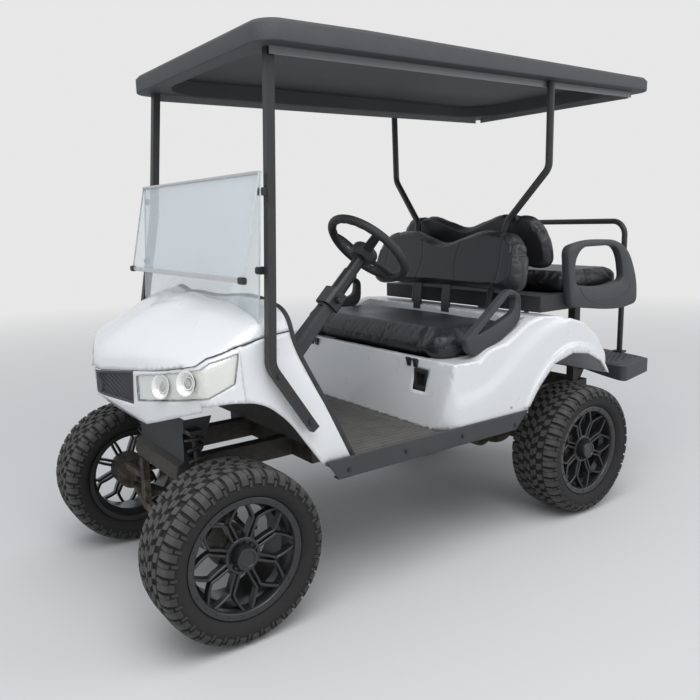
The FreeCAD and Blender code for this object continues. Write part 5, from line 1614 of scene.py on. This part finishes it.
def bolt(place, way, size, height):
    """A round-edged bolt head with six sides on a washer."""
    head = lathed([(0, size), (height * 0.75, size), (height, size * 0.75), (height, 0.0)],
                  place, way, 6)
    washer = lathed([(-0.001, size * 1.35), (height * 0.2, size * 1.35), (height * 0.2, 0.0)],
                    place, way, 20)
    return joined([washer, head])


def make_fasteners():
    """Bolts of the sills and struts, and a screw in each flank."""
    places = [(0.669, 0.600, 0.491), (-0.152, 0.600, 0.486), (-0.215, 0.600, 0.509)]
    places += [(x, 0.600, 0.500) for x in (0.42, 0.14)]
    forms = [bolt(place, (0, 1, 0), 0.0065, 0.005) for place in places]
    strut = np.array([(0.924, 0.552, 0.868), (0.788, 0.578, 0.650)])
    for share in (0.14, 0.86):
        forms.append(bolt(strut[0] + share * (strut[1] - strut[0]) + (0, 0.0142, 0), (0, 1, 0.1),
                          0.008, 0.006))
    piece("body_bolts", pair(joined(forms)), "black_steel", "chassis")
    screw = lathed([(-0.001, 0.006), (0.0015, 0.006), (0.003, 0.0035), (0.003, 0.0)],
                   (-0.138, 0.5902, 0.561), (0, 1, 0), 16)
    piece("flank_screws", pair(screw), "steel", "chassis")


def studded(low_x, high_x, low_y, high_y, z, step, size, height):
    """A field of low blocks: each is a square whose top is smaller than its foot, at even steps
    in x and y, every second row half a step over."""
    x = np.arange(low_x, high_x, step)
    y = np.arange(low_y, high_y, step)
    grid_x, grid_y = np.meshgrid(x, y, indexing="ij")
    grid_y = grid_y + (np.arange(len(x)) % 2)[:, None] * step / 2
    centre = np.stack([grid_x.ravel(), grid_y.ravel(), np.full(grid_x.size, z)], 1)
    corner = np.array([(1, 1), (-1, 1), (-1, -1), (1, -1)]) * size / 2
    foot = np.concatenate([corner, np.full((4, 1), -0.0005)], 1)
    top = np.concatenate([corner * 0.72, np.full((4, 1), height)], 1)
    spots = centre[:, None] + np.concatenate([foot, top])[None]
    quads = np.array([(0, 1, 5, 4), (1, 2, 6, 5), (2, 3, 7, 6), (3, 0, 4, 7), (4, 5, 6, 7),
                      (3, 2, 1, 0)])
    start = (np.arange(len(centre)) * 8)[:, None, None]
    return spots.reshape(-1, 3), [(quads[None] + start).reshape(-1, 4)]


# Field of the step's blocks: its margin to the step's rear and front edge and half its width;
# then the blocks' pitch, side and height.
STEP_MARGINS = (0.085, 0.045)
STEP_HALF = 0.452
BLOCK_PITCH, BLOCK_SIDE, BLOCK_HEIGHT = 0.026, 0.017, 0.0022
# The floor mat: its top, the ends of its ribs along X and the outermost rib's y.
MAT_TOP = 0.5245
MAT_ENDS = (0.265, 0.620)
MAT_HALF = 0.52


def make_treads(pitch):
    """Blocks on the step's tread and ribs along the floor mat."""
    step_low, step_high = node_box("footrest")
    blocks = studded(step_low[0] + STEP_MARGINS[0], step_high[0] - STEP_MARGINS[1], -STEP_HALF,
                     STEP_HALF, step_high[2], BLOCK_PITCH, BLOCK_SIDE, BLOCK_HEIGHT)
    piece("step_blocks", blocks, "grey_plastic", "chassis")
    ribs = []
    for y in np.arange(-MAT_HALF, MAT_HALF + 0.0001, pitch):
        path = np.linspace((MAT_ENDS[0], y, MAT_TOP), (MAT_ENDS[1], y, MAT_TOP), 3)
        ribs.append(swept(path, blocky(0.012, 0.003, 0.001), (0, 0, 1)))
    piece("mat_ribs", joined(ribs), "mat", "chassis")


# Middle line of the bars behind the front backrest as (x, z), and their y.
BAR_LINE = ((-0.300, 0.880), (-0.302, 0.940), (-0.312, 1.010), (-0.330, 1.080))
BAR_PLACES = (-0.150, 0.045)


def make_seat_posts():
    """Flat bars that carry the front backrest, from the rear body up to its lower edge."""
    forms = []
    for y in BAR_PLACES:
        path = smooth_line([(x, y, z) for x, z in BAR_LINE], 5)
        forms.append(swept(path, blocky(0.055, 0.012, 0.003), (1, 0, 0)))
    piece("backrest_bars", joined(forms), "black_steel", "chassis")


# Operators

class CART_OT_seats(bpy.types.Operator):
    """Cushions and backrests blown up as cloth, with their seams"""
    bl_idname = "cart.seats"
    bl_label = "Seats"

    def execute(self, context):
        swell = context.scene.cart_sizes.swell
        front_cushion(swell)
        rear_cushion(swell)
        for row in BACKRESTS:
            backrest(swell, *row)
        return {"FINISHED"}


class CART_OT_wheels(bpy.types.Operator):
    """Mud tyres with lugs, and rims with paired ribs"""
    bl_idname = "cart.wheels"
    bl_label = "Wheels"

    def execute(self, context):
        make_wheels()
        return {"FINISHED"}


class CART_OT_finishes(bpy.types.Operator):
    """Every finish of the cart"""
    bl_idname = "cart.finishes"
    bl_label = "Finishes"

    def execute(self, context):
        colours = context.scene.cart_colours
        FINISHES.update(build_materials(tuple(colours.body)))
        return {"FINISHED"}


class CART_OT_carried_nodes(bpy.types.Operator):
    """Body, frame and roof: the frame nodes with soft edges and their finishes"""
    bl_idname = "cart.carried_nodes"
    bl_label = "Body and frame"

    def execute(self, context):
        carry_over()
        return {"FINISHED"}


class CART_OT_front(bpy.types.Operator):
    """Grille, headlights and windscreen trim"""
    bl_idname = "cart.front"
    bl_label = "Grille, lamps and screen"

    def execute(self, context):
        make_grille(context.scene.cart_sizes.wire_pitch)
        make_lamps()
        make_screen_trim()
        return {"FINISHED"}


class CART_OT_steering(bpy.types.Operator):
    """Steering wheel and column"""
    bl_idname = "cart.steering"
    bl_label = "Steering"

    def execute(self, context):
        make_steering()
        make_column()
        return {"FINISHED"}


class CART_OT_guards(bpy.types.Operator):
    """Hip guards, rear armrests and the bars behind the front backrest"""
    bl_idname = "cart.guards"
    bl_label = "Guards and armrests"

    def execute(self, context):
        make_guards()
        make_armrests()
        make_seat_posts()
        return {"FINISHED"}


class CART_OT_fittings(bpy.types.Operator):
    """Dampers, roof rails, bolts, step blocks and mat ribs"""
    bl_idname = "cart.fittings"
    bl_label = "Fittings"

    def execute(self, context):
        make_dampers()
        make_roof_rails()
        make_fasteners()
        make_treads(context.scene.cart_sizes.rib_pitch)
        return {"FINISHED"}


class CART_OT_stage(bpy.types.Operator):
    """Camera, lamps, sky and floor"""
    bl_idname = "cart.stage"
    bl_label = "Stage"

    def execute(self, context):
        stage = context.scene.cart_stage
        context.scene.view_settings.view_transform = "Standard"
        make_camera()
        make_world(stage.background, stage.sky)
        make_floor(stage.background)
        for name, place, side, share in LAMPS:
            soft_lamp(name, place, side, stage.lamp_power * share)
        return {"FINISHED"}


class CART_PT_panel(bpy.types.Panel):
    """Colours, sizes and light, and a button for each group of pieces"""
    bl_idname = "CART_PT_panel"
    bl_label = "Golf cart"
    bl_space_type = "VIEW_3D"
    bl_region_type = "UI"
    bl_category = "Golf cart"

    def draw(self, context):
        scene = context.scene
        for group in (scene.cart_colours, scene.cart_sizes, scene.cart_stage):
            for name in type(group).__annotations__:
                self.layout.prop(group, name)
        for operator in OPERATORS:
            self.layout.operator(operator.bl_idname)


OPERATORS = (CART_OT_finishes, CART_OT_carried_nodes, CART_OT_wheels, CART_OT_seats,
             CART_OT_front, CART_OT_steering, CART_OT_guards, CART_OT_fittings, CART_OT_stage)
CLASSES = (CartColours, CartSizes, CartStage) + OPERATORS + (CART_PT_panel,)


def register():
    """Adds the groups, operators and panel, and the groups to every scene."""
    for cls in CLASSES:
        bpy.utils.register_class(cls)
    bpy.types.Scene.cart_colours = bpy.props.PointerProperty(type=CartColours)
    bpy.types.Scene.cart_sizes = bpy.props.PointerProperty(type=CartSizes)
    bpy.types.Scene.cart_stage = bpy.props.PointerProperty(type=CartStage)


def unregister():
    """Takes away what register adds."""
    del bpy.types.Scene.cart_colours
    del bpy.types.Scene.cart_sizes
    del bpy.types.Scene.cart_stage
    for cls in reversed(CLASSES):
        bpy.utils.unregister_class(cls)


def main():
    """Builds every group of pieces and the stage."""
    register()
    for operator in OPERATORS:
        group, name = operator.bl_idname.split(".")
        getattr(getattr(bpy.ops, group), name)()


if __name__ == "__main__":
    main()
